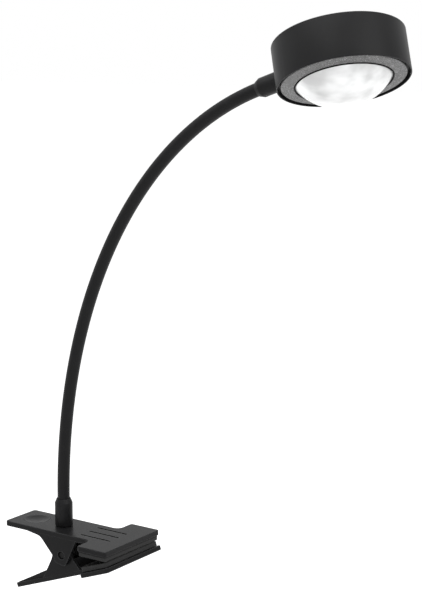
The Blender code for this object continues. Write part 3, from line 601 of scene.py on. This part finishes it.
FINISHES = {
    "moulding": moulded_black,
    "pad": jaw_rubber,
    "steel": zinc_steel,
    "black_steel": black_steel,
    "collar": anodised_black,
    "sleeve": sleeve_black,
    "cable": cable_jacket,
    "housing": powder_coat,
    "grain": sparkle_grain,
    "rubber": soft_rubber,
    "lens": dome_glass,
    "mirror": polished_mirror,
    "board": solder_mask,
    "phosphor": phosphor_yellow,
    "aluminium": turned_aluminium,
}


def finish(slot):
    """The material of a slot, made when it is first asked for."""
    name = f"{slot}_finish"
    known = bpy.data.materials.get(name)
    if known:
        return known
    shader = Shader(name)
    FINISHES[slot](shader, tuple(getattr(bpy.context.scene.lamp_colours, slot)))
    return shader.material


# ---- Properties ----------------------------------------------------------------------------

def length(name, description, default):
    return FloatProperty(name=name, description=description, default=default, unit="LENGTH",
                         subtype="DISTANCE", min=0.0)


def angle(name, description, default):
    return FloatProperty(name=name, description=description, default=default, subtype="ANGLE",
                         unit="ROTATION")


def colour(name, description, default):
    return FloatVectorProperty(name=name, description=description, default=default,
                               subtype="COLOR", size=3, min=0.0, max=1.0)


def power(name, description, default):
    return FloatProperty(name=name, description=description, default=default, unit="POWER",
                         min=0.0)


class LampSizes(bpy.types.PropertyGroup):
    """Sizes of the fine pieces that the frame's boxes don't give."""

    sides: IntProperty(name="Sides", description="Facets around the head's round pieces",
                       default=144, min=24, max=512)
    neck_sides: IntProperty(name="Neck sides", description="Facets around neck and collars",
                            default=64, min=16, max=256)
    neck_length: length("Neck length", "Sleeve between the two collars", 374.4 * mm)
    neck_lean_even: angle("Even lean", "Part of the lean that grows evenly", 47.4 * deg)
    neck_lean_tip: angle("Tip lean", "Part that grows with the cube of the length", 23.1 * deg)
    neck_bore: length("Sleeve bore", "Radius of the sleeve's bore", 3.2 * mm)
    socket_depth: length("Socket depth", "How far the neck reaches into a collar", 10.0 * mm)
    collar_taper: length("Collar taper", "Height of a collar's sloped mouth", 3.2 * mm)
    stud_radius: length("Stud radius", "Hollow stud under a collar", 4.0 * mm)
    stud_bore: length("Stud bore", "Radius of the way through a stud", 1.9 * mm)
    head_roll: angle("Head roll", "Turn of the head about its collar", 15.0 * deg)
    housing_wall: length("Housing wall", "Thickness of the roof and the side", 2.2 * mm)
    rim_wall: length("Rim wall", "Thickness of the open rim", 0.8 * mm)
    ring_cone: length("Ring cone", "By which the trim ring's inner edge stands proud", 1.0 * mm)
    roof_edge: length("Roof edge", "Rounding of the housing's top edge", 1.0 * mm)
    dish_depth: length("Dish depth", "Hollow of the touch pad", 0.9 * mm)
    rib_pitch: length("Rib pitch", "Distance between grip ribs on a jaw pad", 1.9 * mm)
    rib_depth: length("Rib depth", "Depth of the valleys between ribs", 0.5 * mm)
    spring_wire: length("Spring wire", "Radius of the spring's wire", 0.8 * mm)
    spring_coil: length("Spring coil", "Radius of the coil's middle line", 5.2 * mm)
    spring_half: length("Spring half width", "Half of the coil's width on the pin", 9.0 * mm)
    spring_turns: IntProperty(name="Spring turns", description="Whole turns of the coil",
                              default=7, min=1, max=40)
    upper_leg: length("Upper leg", "From the pin back to the end of the upper leg", 27.5 * mm)
    lower_leg: length("Lower leg", "From the pin back to the end of the lower leg", 30.0 * mm)
    trough_drop: length("Trough drop", "From the pin down to the lower lever's inside",
                        13.6 * mm)
    lens_wall: length("Lens wall", "Thickness of the dome", 2.4 * mm)
    lens_flange: length("Lens flange", "Width of the flange around the dome", 3.9 * mm)
    boss_circle: length("Boss circle", "Radius on which the spreader's bosses stand", 27.0 * mm)
    boss_radius: length("Boss radius", "Radius of a boss", 3.0 * mm)
    screw_hole: length("Screw hole", "Radius of the hole in a boss", 1.55 * mm)
    washer_radius: length("Washer radius", "Flat seat of the collar's washer", 6.6 * mm)


class LampColours(bpy.types.PropertyGroup):
    """Base colours of the finishes, one for each material slot."""

    moulding: colour("Moulding", "Matte plastic of the levers", (0.009, 0.009, 0.0094))
    pad: colour("Jaw pads", "Rubber of the jaw pads", (0.022, 0.022, 0.022))
    steel: colour("Steel", "Zinc-plated steel", (0.55, 0.55, 0.57))
    black_steel: colour("Black steel", "Pin and spring", (0.006, 0.006, 0.006))
    collar: colour("Collars", "Anodised collars", (0.011, 0.011, 0.0115))
    sleeve: colour("Sleeve", "Sleeve of the neck", (0.0105, 0.0105, 0.011))
    cable: colour("Cable", "Jacket of the cable in the neck", (0.02, 0.02, 0.02))
    housing: colour("Housing", "Powder coat of the head", (0.0125, 0.0125, 0.013))
    grain: colour("Trim ring", "Sparkle grain of the trim ring", (0.14, 0.14, 0.14))
    rubber: colour("Gasket", "Lens gasket and cord bush", (0.006, 0.006, 0.006))
    lens: colour("Lens", "Glass of the dome", (0.97, 0.975, 0.975))
    mirror: colour("Reflector", "Coating of the reflector", (0.88, 0.88, 0.89))
    board: colour("Boards", "Lacquer of the circuit boards", (0.03, 0.16, 0.06))
    phosphor: colour("Phosphor", "Light source", (0.9, 0.72, 0.22))
    aluminium: colour("Heat spreader", "Bare aluminium", (0.72, 0.72, 0.73))


class LampStudio(bpy.types.PropertyGroup):
    """Camera, lamps and floor."""

    azimuth: angle("Azimuth", "Camera's turn about the lamp", 35.05 * deg)
    elevation: angle("Elevation", "Camera's height above the horizon", 9.92 * deg)
    distance: length("Distance", "From the camera to the lamp's middle", 1.10357)
    lens: FloatProperty(name="Lens", description="Focal length in millimetres", default=96.0,
                        unit="CAMERA")
    shift_right: length("Aim right", "Aim to the right of the middle", 13.9 * mm)
    shift_up: length("Aim up", "Aim above the middle", 19.9 * mm)
    floor_drop: length("Floor drop", "From the lamp's lowest point to the floor", 0.22)
    floor_reach: length("Floor reach", "From the middle of the floor to its sides", 12.0)
    sky: FloatProperty(name="Sky", description="Strength of the even light", default=0.3,
                       min=0.0)
    key: power("Key", "Power of the large lamp overhead", 20.0)
    left: power("Left", "Power of the left lamp", 1.0)
    right: power("Right", "Power of the right lamp", 8.0)


# ---- Clip ----------------------------------------------------------------------------------

class LAMP_OT_levers(bpy.types.Operator):
    """Finish the two moulded levers"""

    bl_idname = "lamp.levers"
    bl_label = "Levers"

    def execute(self, context):
        dress("moulding", "upper_lever", "lower_lever")
        return {"FINISHED"}


def ribbed_pad(name, body, place, face_up):
    """A rubber jaw pad with rounded ribs across its gripping face."""
    sizes = bpy.context.scene.lamp_sizes
    low, high = local_box(name, place)
    corner, edge = 2 * mm, 0.4 * mm
    valley_share = 0.42              # radius of the rod that cuts a valley, of the pitch
    plan = rounded([(low.x, high.y, corner), (high.x, high.y, corner), (high.x, low.y, corner),
                    (low.x, low.y, corner)])
    pad = add_piece(f"{name}_ribbed", prism(plan, low.z, high.z, edge=edge), place, "pad")
    count = int((high.x - low.x - corner) / sizes.rib_pitch)
    middle = (low.x + high.x) / 2
    face = high.z if face_up else low.z
    reach = high.y + corner
    radius = sizes.rib_pitch * valley_share
    sink = radius - sizes.rib_depth
    cuts = []
    for row in range(count):
        x = middle + (row - (count - 1) / 2) * sizes.rib_pitch
        z = face + sink if face_up else face - sink
        lie = Matrix.Translation((x, 0, z)) @ Matrix.Rotation(math.pi / 2, 4, "X")
        rod = turned([(0, -reach), (radius, -reach), (radius, reach), (0, reach)], 20)
        cuts.append((rod, place @ lie, "DIFFERENCE"))
    carve(pad, cuts)
    return stand_for(pad, body, name)


class LAMP_OT_jaw_pads(bpy.types.Operator):
    """Make the two ribbed rubber pads"""

    bl_idname = "lamp.jaw_pads"
    bl_label = "Jaw pads"

    def execute(self, context):
        ribbed_pad("upper_jaw_pad", "clip_upper", Matrix.Identity(4), False)
        ribbed_pad("lower_jaw_pad", "clip_lower", lower_place(), True)
        return {"FINISHED"}


class LAMP_OT_touch_pad(bpy.types.Operator):
    """Make the dished touch pad and finish the sensor under it"""

    bl_idname = "lamp.touch_pad"
    bl_label = "Touch pad"

    def execute(self, context):
        sizes = context.scene.lamp_sizes
        place = middle_place("touch_pad")
        low, high = local_box("touch_pad", place)
        radius, top = high.x, high.z
        edge, land = 0.2 * mm, 0.8 * mm
        hollow = radius - land
        ball = (hollow ** 2 + sizes.dish_depth ** 2) / (2 * sizes.dish_depth)
        reach = math.asin(hollow / ball)
        bowl = arc((0, top - sizes.dish_depth + ball), ball, reach - math.pi / 2, -math.pi / 2, 14)
        profile = [(0, low.z), (radius - edge, low.z), (radius, low.z + edge)]
        profile += arc((radius - edge, top - edge), edge, 0, math.pi / 2, 3)
        profile += bowl[:-1] + [(0, top - sizes.dish_depth)]
        dish = add_piece("touch_dish", turned(profile, 96), place, "moulding")
        stand_for(dish, "clip_upper", "touch_pad")
        dress("board", "touch_sensor")
        return {"FINISHED"}


def spring_line():
    """Middle line of the torsion spring on the pin, one leg on each lever."""
    sizes = bpy.context.scene.lamp_sizes
    pin = pin_place().translation
    rest = SEAT + sizes.spring_wire
    upper_end = (-sizes.upper_leg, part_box("upper_jaw_pad")[1].z + SEAT - rest - pin.z)
    floor, reach, tilt = rest - sizes.trough_drop, sizes.lower_leg, lower_tilt()
    lower_end = (-reach * math.cos(tilt) - floor * math.sin(tilt),
                 -reach * math.sin(tilt) + floor * math.cos(tilt))
    wound = 2 * math.pi * sizes.spring_turns
    half = sizes.spring_half

    def leave(target, sign):
        return (math.atan2(target[1], target[0])
                - sign * math.acos(sizes.spring_coil / math.hypot(*target)))

    def on_coil(turn, aside):
        return Vector((sizes.spring_coil * math.cos(turn), aside,
                       sizes.spring_coil * math.sin(turn)))

    first = leave(upper_end, 1)
    last = leave(lower_end, -1) - wound
    while last > first - wound:
        last -= 2 * math.pi
    steps_each_turn = 40
    steps = round((first - last) / (2 * math.pi) * steps_each_turn)
    leg_steps = 12
    upper = Vector((upper_end[0], half, upper_end[1]))
    lower = Vector((lower_end[0], -half, lower_end[1]))
    points = [upper.lerp(on_coil(first, half), step / leg_steps) for step in range(leg_steps)]
    for step in range(steps + 1):
        share = step / steps
        points.append(on_coil(first + (last - first) * share, half * (1 - 2 * share)))
    points += [on_coil(last, -half).lerp(lower, (step + 1) / leg_steps)
               for step in range(leg_steps)]
    return points


def hoop(middle, across, other, radius, sides):
    """Points on a circle around a middle, in the plane of two directions."""
    turns = [2 * math.pi * k / sides for k in range(sides)]
    return [middle + (across * math.cos(t) + other * math.sin(t)) * radius for t in turns]


def wire_loops(points, radius, sides):
    """Rings square to a line of points, carried along without twist."""
    loops = []
    ahead = (points[1] - points[0]).normalized()
    across = ahead.orthogonal().normalized()
    for index, point in enumerate(points):
        before = points[max(index - 1, 0)]
        after = points[min(index + 1, len(points) - 1)]
        ahead = (after - before).normalized()
        across = (across - ahead * across.dot(ahead)).normalized()
        loops.append(hoop(point, across, ahead.cross(across), radius, sides))
    return loops


class LAMP_OT_hinge(bpy.types.Operator):
    """Make the torsion spring and finish the pin"""

    bl_idname = "lamp.hinge"
    bl_label = "Spring and pin"

    def execute(self, context):
        sizes = context.scene.lamp_sizes
        loops = wire_loops(spring_line(), sizes.spring_wire, 14)
        place = pin_place()
        spring = add_piece("torsion_spring", swept(loops), place, "black_steel")
        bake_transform(spring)
        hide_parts("clip_spring")
        dress("black_steel", "pivot_pin")
        return {"FINISHED"}


# ---- Neck ----------------------------------------------------------------------------------

def neck_lean(along):
    """The neck's angle from the vertical at a length along it."""
    sizes = bpy.context.scene.lamp_sizes
    part = min(max(along / sizes.neck_length, 0.0), 1.0)
    return sizes.neck_lean_even * part + sizes.neck_lean_tip * part ** 3


def neck_line(spacing):
    """(length, point, lean) along the sleeve, from inside one collar to inside the other."""
    sizes = bpy.context.scene.lamp_sizes
    low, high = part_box("base_collar")
    point = Vector(((low.x + high.x) / 2, 0, high.z - sizes.socket_depth))
    total = sizes.neck_length + 2 * sizes.socket_depth
    steps = round(total / spacing)
    line = [(-sizes.socket_depth, point.copy(), 0.0)]
    for step in range(steps):
        middle = neck_lean(total * (step + 0.5) / steps - sizes.socket_depth)
        point = point + Vector((math.sin(middle), 0, math.cos(middle))) * total / steps
        along = total * (step + 1) / steps - sizes.socket_depth
        line.append((along, point, neck_lean(along)))
    return line


def sleeve_loops(stretch, radius, bore, sides):
    """Outside, then bore, of one stretch of sleeve."""
    loops = []
    for around, rings in ((radius, stretch), (bore, list(reversed(stretch)))):
        for _, point, lean in rings:
            across = Vector((math.cos(lean), 0, -math.sin(lean)))
            loops.append(hoop(point, across, Vector((0, 1, 0)), around, sides))
    return loops


def neck_body(index):
    return "clip_upper" if index == 1 else f"neck_{index:02d}"


class LAMP_OT_neck(bpy.types.Operator):
    """Make the smooth sleeve in pieces and finish what it holds"""

    bl_idname = "lamp.neck"
    bl_label = "Neck"

    def execute(self, context):
        sizes = context.scene.lamp_sizes
        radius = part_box("neck_sleeve_05")[1].y
        spacing = 1.55 * mm
        line = neck_line(spacing)
        link = sizes.neck_length / NECK_LINKS
        for index in range(1, NECK_LINKS):
            first = link * (index - 0.5) if index > 1 else -sizes.socket_depth
            last = (link * (index + 0.5) if index < NECK_LINKS - 1
                    else sizes.neck_length + sizes.socket_depth)
            near = min(range(len(line)), key=lambda k: abs(line[k][0] - first))
            far = min(range(len(line)), key=lambda k: abs(line[k][0] - last))
            stretch = line[near:far + 1]
            loops = sleeve_loops(stretch, radius, sizes.neck_bore, sizes.neck_sides)
            sleeve = add_piece(f"sleeve_{index:02d}", swept(loops, True), Matrix.Identity(4),
                               "sleeve")
            pivot = min(line, key=lambda entry: abs(entry[0] - link * index))[1]
            ahead = Vector((math.sin(neck_lean(link * index)), 0,
                            math.cos(neck_lean(link * index)))) * link / 2
            pivot - ahead
            pivot + ahead
            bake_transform(sleeve)
            nodes = [f"neck_sleeve_{index:02d}"]
            if index == NECK_LINKS - 1:
                nodes.append(f"neck_sleeve_{NECK_LINKS:02d}")
            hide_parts(*nodes)
        for index in range(1, NECK_LINKS + 1):
            dress("steel", f"neck_conduit_{index:02d}")
            dress("cable", f"neck_cable_{index:02d}")
        return {"FINISHED"}


def make_collar(node, place, body):
    """A collar with a sloped mouth, a rounded foot and a hollow stud below height 0."""
    sizes = bpy.context.scene.lamp_sizes
    low, high = local_box(node, place)
    radius, top = high.y, high.z
    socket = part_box("neck_sleeve_05")[1].y + SEAT
    lip, lip_round, lip_height = socket + 0.35 * mm, 0.12 * mm, 0.25 * mm
    floor = top - sizes.socket_depth - SEAT
    foot, crease = 0.6 * mm, 0.35 * mm
    flare, flare_height = 0.05 * mm, 0.1 * mm
    slope_start = top - sizes.collar_taper
    profile = [(sizes.stud_bore, low.z), (sizes.stud_radius - foot, low.z),
               (sizes.stud_radius, low.z + foot), (sizes.stud_radius, 0)]
    profile += arc((radius - foot, foot), foot, -math.pi / 2, 0, 4)
    profile += [(radius, slope_start - crease), (radius - 0.1 * crease, slope_start),
                (radius - 0.5 * crease, slope_start + crease)]
    profile += [(lip + lip_round, top - lip_height), (lip, top), (socket + flare, top),
                (socket, top - flare_height), (socket, floor), (sizes.stud_bore, floor)]
    made = add_piece(f"{node}_turned", turned(profile, sizes.neck_sides), place, "collar")
    return stand_for(made, body, node)


class LAMP_OT_collars(bpy.types.Operator):
    """Make the two turned collars and finish their nuts, washers and bush"""

    bl_idname = "lamp.collars"
    bl_label = "Collars"

    def execute(self, context):
        foot = middle_place("base_collar")
        plate_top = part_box("upper_lever")[1].z
        foot.translation.z = plate_top + SEAT
        make_collar("base_collar", foot, "clip_upper")
        end = neck_end_place()
        reach = local_box("head_housing", head_place())[0].x
        seat = head_place() @ Vector((reach - SEAT, 0, 0))
        facing = Matrix.Translation(seat) @ end.to_3x3().to_4x4() @ Matrix.Rotation(math.pi, 4, "Y")
        make_collar("head_collar", facing, neck_body(NECK_LINKS))
        dress("steel", "base_washer", "base_nut", "swivel_washer", "swivel_nut")
        dress("rubber", "cord_bush")
        return {"FINISHED"}


# ---- Head ----------------------------------------------------------------------------------

def rod_tool(radius, low, high, sides=64):
    return turned([(0, low), (radius, low), (radius, high), (0, high)], sides)


class LAMP_OT_housing(bpy.types.Operator):
    """Make the round housing: roof, side, rim, ledge, bosses and the hole for the collar"""

    bl_idname = "lamp.housing"
    bl_label = "Housing"

    def execute(self, context):
        sizes = context.scene.lamp_sizes
        place = head_place()
        low, high = local_box("head_housing", place)
        radius, rim, roof = high.x, low.z, high.z
        ring_high = local_box("trim_ring", place)[1]
        ledge_width, ledge_thick, ledge_slope = 1.0 * mm, 1.5 * mm, 1.3 * mm
        ledge = ring_high.z + SEAT
        ledge_bore = ring_high.x - ledge_width
        inside = radius - sizes.housing_wall
        ceiling = roof - sizes.housing_wall
        edge, lip = sizes.roof_edge, 0.3 * mm
        profile = [(0, ceiling), (inside - edge, ceiling)]
        profile += arc((inside - edge, ceiling - edge), edge, math.pi / 2, 0, 5)
        profile += [(inside, ledge + ledge_thick + ledge_slope), (ledge_bore, ledge + ledge_thick),
                    (ledge_bore, ledge), (radius - sizes.rim_wall, ledge)]
        inner_lip = 0.2 * mm
        profile += arc((radius - sizes.rim_wall + inner_lip, rim + inner_lip), inner_lip,
                       math.pi, 1.5 * math.pi, 3)
        profile += arc((radius - lip, rim + lip), lip, -math.pi / 2, 0, 4)
        profile += arc((radius - edge, roof - edge), edge, 0, math.pi / 2, 8) + [(0, roof)]
        shell = add_piece("housing_shell", turned(profile, sizes.sides), place, "housing")
        tools = []
        spreader_top = local_box("heat_spreader", place)[1].z
        foot, top = spreader_top + SEAT, ceiling + sizes.housing_wall / 2
        for index in range(3):
            turn = index * 120 * deg
            spot = Matrix.Translation((sizes.boss_circle * math.cos(turn),
                                       sizes.boss_circle * math.sin(turn), 0))
            boss = turned([(sizes.screw_hole, foot), (sizes.boss_radius, foot),
                           (sizes.boss_radius, top), (sizes.screw_hole, top)], 32)
            tools.append((boss, place @ spot, "UNION"))
        across = Matrix.Rotation(math.pi / 2, 4, "Y")
        spot = Matrix.Translation((-inside, 0, 0)) @ across
        through = 3 * sizes.housing_wall
        tools.append((rod_tool(sizes.washer_radius, 0, through), place @ spot, "DIFFERENCE"))
        hole = Matrix.Translation((-radius, 0, 0)) @ across
        stud = rod_tool(sizes.stud_radius + SEAT, -sizes.housing_wall, through)
        tools.append((stud, place @ hole, "DIFFERENCE"))
        carve(shell, tools)
        stand_for(shell, "head", "head_housing")
        return {"FINISHED"}


class LAMP_OT_front(bpy.types.Operator):
    """Make the trim ring, the gasket and the domed lens"""

    bl_idname = "lamp.front"
    bl_label = "Trim ring and lens"

    def execute(self, context):
        sizes = context.scene.lamp_sizes
        place = head_place()
        ring_low, ring_high = local_box("trim_ring", place)
        lens_low, lens_high = local_box("lens", place)
        gasket_low, gasket_high = local_box("lens_gasket", place)
        flange_radius = lens_high.x
        lens_radius = flange_radius - sizes.lens_flange
        skin = 0.5 * mm
        bore = lens_radius + 2 * SEAT + skin
        chamfer = 0.3 * mm
        proud, back, outer = ring_low.z, ring_high.z, ring_high.x
        front = proud + sizes.ring_cone
        ring = [(bore, back)]
        ring += arc((bore + chamfer, proud + chamfer), chamfer, math.pi, 1.5 * math.pi, 4)
        ring += arc((outer - chamfer, front + chamfer), chamfer, -math.pi / 2, 0, 4)
        ring += [(outer, back)]
        turned_piece("trim_ring_grained", ring, place, "grain", "trim_ring")

        dark_line_proud, lip_flange = 0.5 * mm, 1.0 * mm
        lip_bore = lens_radius + SEAT
        lip = lip_bore + skin
        flange_face = gasket_high.z - lip_flange
        # painted shade, partly real: the gasket is real, but its black lip reaches 0.5 mm beyond the
        # gasket and the ring's face so that it shows as a dark line, a stand-in for the shadowed gap
        # around the lens
        lip_end = min(gasket_low.z, proud) - dark_line_proud
        gasket = [(lip_bore, lip_end), (lip, lip_end), (lip, flange_face),
                  (flange_radius, flange_face), (flange_radius, gasket_high.z),
                  (lip_bore, gasket_high.z)]
        turned_piece("lens_seal", gasket, place, "rubber", "lens_gasket")

        wall, flange_thick = sizes.lens_wall, 1.5 * mm
        edge_height = gasket_low.z
        tip = lens_low.z
        dome = edge_height - tip
        ball = (lens_radius ** 2 + dome ** 2) / (2 * dome)
        middle = tip + ball
        start = math.atan2(edge_height - middle, lens_radius)
        outside = arc((0, middle), ball, start, -math.pi / 2, 30)[:-1] + [(0, tip)]
        hollow, core = lens_radius - wall, ball - wall
        inside = arc((0, middle), core, -math.acos(hollow / core), -math.pi / 2, 26)[:-1]
        inside.append((0, tip + wall))
        lens_back = lens_high.z
        profile = list(reversed(inside))
        profile += [(hollow, lens_back), (flange_radius, lens_back),
                    (flange_radius, lens_back - flange_thick),
                    (lens_radius, lens_back - flange_thick)]
        turned_piece("dome_lens", profile + outside, place, "lens", "lens")
        return {"FINISHED"}


class LAMP_OT_light_engine(bpy.types.Operator):
    """Make the reflector and finish the boards, the light source, the spreader and its screws"""

    bl_idname = "lamp.light_engine"
    bl_label = "Light engine"

    def execute(self, context):
        sizes = context.scene.lamp_sizes
        place = head_place()
        low, high = local_box("reflector", place)
        throat, wall, mouth_inset = 6.4 * mm, 1.2 * mm, 2.8 * mm
        flare = 1.6                      # above 1, the bowl opens faster near its mouth
        flange = high.x
        mouth = flange - sizes.lens_flange - mouth_inset
        steps = 24
        inner = []
        for step in range(steps + 1):
            share = step / steps
            inner.append((mouth + (throat - mouth) * share,
                          low.z + (high.z - low.z) * share ** flare))
        lip = low.z + wall
        outer = [(radius + wall, max(height, lip)) for radius, height in inner[1:]]
        profile = inner + list(reversed(outer))
        profile += [(mouth + wall, lip), (flange, lip), (flange, low.z)]
        turned_piece("reflector_bowl", profile, place, "mirror", "reflector")
        dress("board", "led_board", "driver_board")
        dress("phosphor", "led_emitter")
        dress("aluminium", "heat_spreader")
        dress("steel", "spreader_screw_1", "spreader_screw_2", "spreader_screw_3")
        return {"FINISHED"}


# ---- Studio --------------------------------------------------------------------------------

def pale_floor():
    """A pale sheet that keeps shadows and is close to pure white where it is seen directly."""
    shader = Shader("floor_finish")
    paper = shader.noise(40 * mm, 3.0)
    shader.surface(base_color=shader.mix(paper, (0.8, 0.8, 0.8), (0.84, 0.84, 0.84)),
                   roughness=0.9, specular_ior_level=0.1, emission_strength=1.0,
                   emission_color=shader.mix(shader.seen_directly(), (0, 0, 0), (0.8, 0.8, 0.8)))
    return shader.material


LAMPS = {                        # place from the lamp's middle, and side of the square, in metres
    "key": ((-0.1, -0.35, 1.1), 1.4),
    "left": ((-1.2, -0.7, 0.35), 1.0),
    "right": ((1.2, -0.1, 0.7), 1.0),
}


def add_lamp(name, place, target, size, watts):
    """A square area lamp at a place, turned to a target."""
    data = bpy.data.lights.new(f"{name}_lamp", "AREA")
    data.shape = "SQUARE"
    data.size = size
    data.energy = watts
    lamp = bpy.data.objects.new(f"{name}_lamp", data)
    bpy.context.scene.collection.objects.link(lamp)
    lamp.location = place
    lamp.rotation_mode = "QUATERNION"
    lamp.rotation_quaternion = (target - place).to_track_quat("-Z", "Y")


def make_world(strength):
    """An even sky that lights the lamp softly and is white where it is seen directly."""
    world = bpy.data.worlds.new("studio_sky")
    world.use_nodes = True
    bpy.context.scene.world = world
    sky = NodeTree(world.node_tree)
    background = sky.tree.nodes["Background"]
    background.inputs["Color"].default_value = (1, 1, 1, 1)
    level = sky.seen_directly() * (1 - strength) + strength
    sky.tree.links.new(level.socket, background.inputs["Strength"])


def make_camera(studio, centre):
    turn, rise = studio.azimuth, studio.elevation
    back = Vector((math.sin(turn) * math.cos(rise), -math.cos(turn) * math.cos(rise),
                   math.sin(rise)))
    right = Vector((math.cos(turn), math.sin(turn), 0))
    up = back.cross(right)
    aim = centre + right * studio.shift_right + up * studio.shift_up
    data = bpy.data.cameras.new("studio_camera")
    data.lens = studio.lens
    data.sensor_width = 36.0
    camera = bpy.data.objects.new("studio_camera", data)
    bpy.context.scene.collection.objects.link(camera)
    camera.location = aim + back * studio.distance
    camera.rotation_mode = "QUATERNION"
    camera.rotation_quaternion = (-back).to_track_quat("-Z", "Y")
    bpy.context.scene.camera = camera


class LAMP_OT_studio(bpy.types.Operator):
    """Make the floor, the lamps, the sky and the camera"""

    bl_idname = "lamp.studio"
    bl_label = "Studio"

    def execute(self, context):
        studio = context.scene.lamp_studio
        low, high = CAD_BOX
        centre = (low + high) / 2
        make_camera(studio, centre)
        bm = bmesh.new()
        reach = studio.floor_reach
        corners = [(-reach, -reach), (reach, -reach), (reach, reach), (-reach, reach)]
        bm.faces.new([bm.verts.new((x, y, low.z - studio.floor_drop)) for x, y in corners])
        floor = add_piece("floor", bm, Matrix.Identity(4), None)
        floor.data.materials.append(pale_floor())
        make_world(studio.sky)
        for name, (offset, size) in LAMPS.items():
            add_lamp(name, centre + Vector(offset), centre, size, getattr(studio, name))
        context.scene.view_settings.view_transform = "Standard"
        return {"FINISHED"}


# ---- Panel and run -------------------------------------------------------------------------

OPERATORS = (
    LAMP_OT_studio, LAMP_OT_levers, LAMP_OT_jaw_pads, LAMP_OT_touch_pad, LAMP_OT_hinge,
    LAMP_OT_neck, LAMP_OT_collars, LAMP_OT_housing, LAMP_OT_front, LAMP_OT_light_engine,
)
GROUPS = {"lamp_sizes": LampSizes, "lamp_colours": LampColours, "lamp_studio": LampStudio}


class LAMP_PT_panel(bpy.types.Panel):
    """Sidebar panel with the steps and their values"""

    bl_label = "Reading Lamp"
    bl_idname = "LAMP_PT_panel"
    bl_space_type = "VIEW_3D"
    bl_region_type = "UI"
    bl_category = "Reading Lamp"

    def draw(self, context):
        layout = self.layout
        for operator in OPERATORS:
            layout.operator(operator.bl_idname)
        for name, group in GROUPS.items():
            box = layout.box()
            for value in group.__annotations__:
                box.prop(getattr(context.scene, name), value)


def register():
    for group in GROUPS.values():
        bpy.utils.register_class(group)
    for name, group in GROUPS.items():
        setattr(bpy.types.Scene, name, PointerProperty(type=group))
    for operator in OPERATORS:
        bpy.utils.register_class(operator)
    bpy.utils.register_class(LAMP_PT_panel)


def unregister():
    bpy.utils.unregister_class(LAMP_PT_panel)
    for operator in reversed(OPERATORS):
        bpy.utils.unregister_class(operator)
    for name, group in GROUPS.items():
        delattr(bpy.types.Scene, name)
        bpy.utils.unregister_class(group)


def main():
    register()
    for operator in OPERATORS:
        family, step = operator.bl_idname.split(".")
        getattr(getattr(bpy.ops, family), step)()


if __name__ == "__main__":
    main()
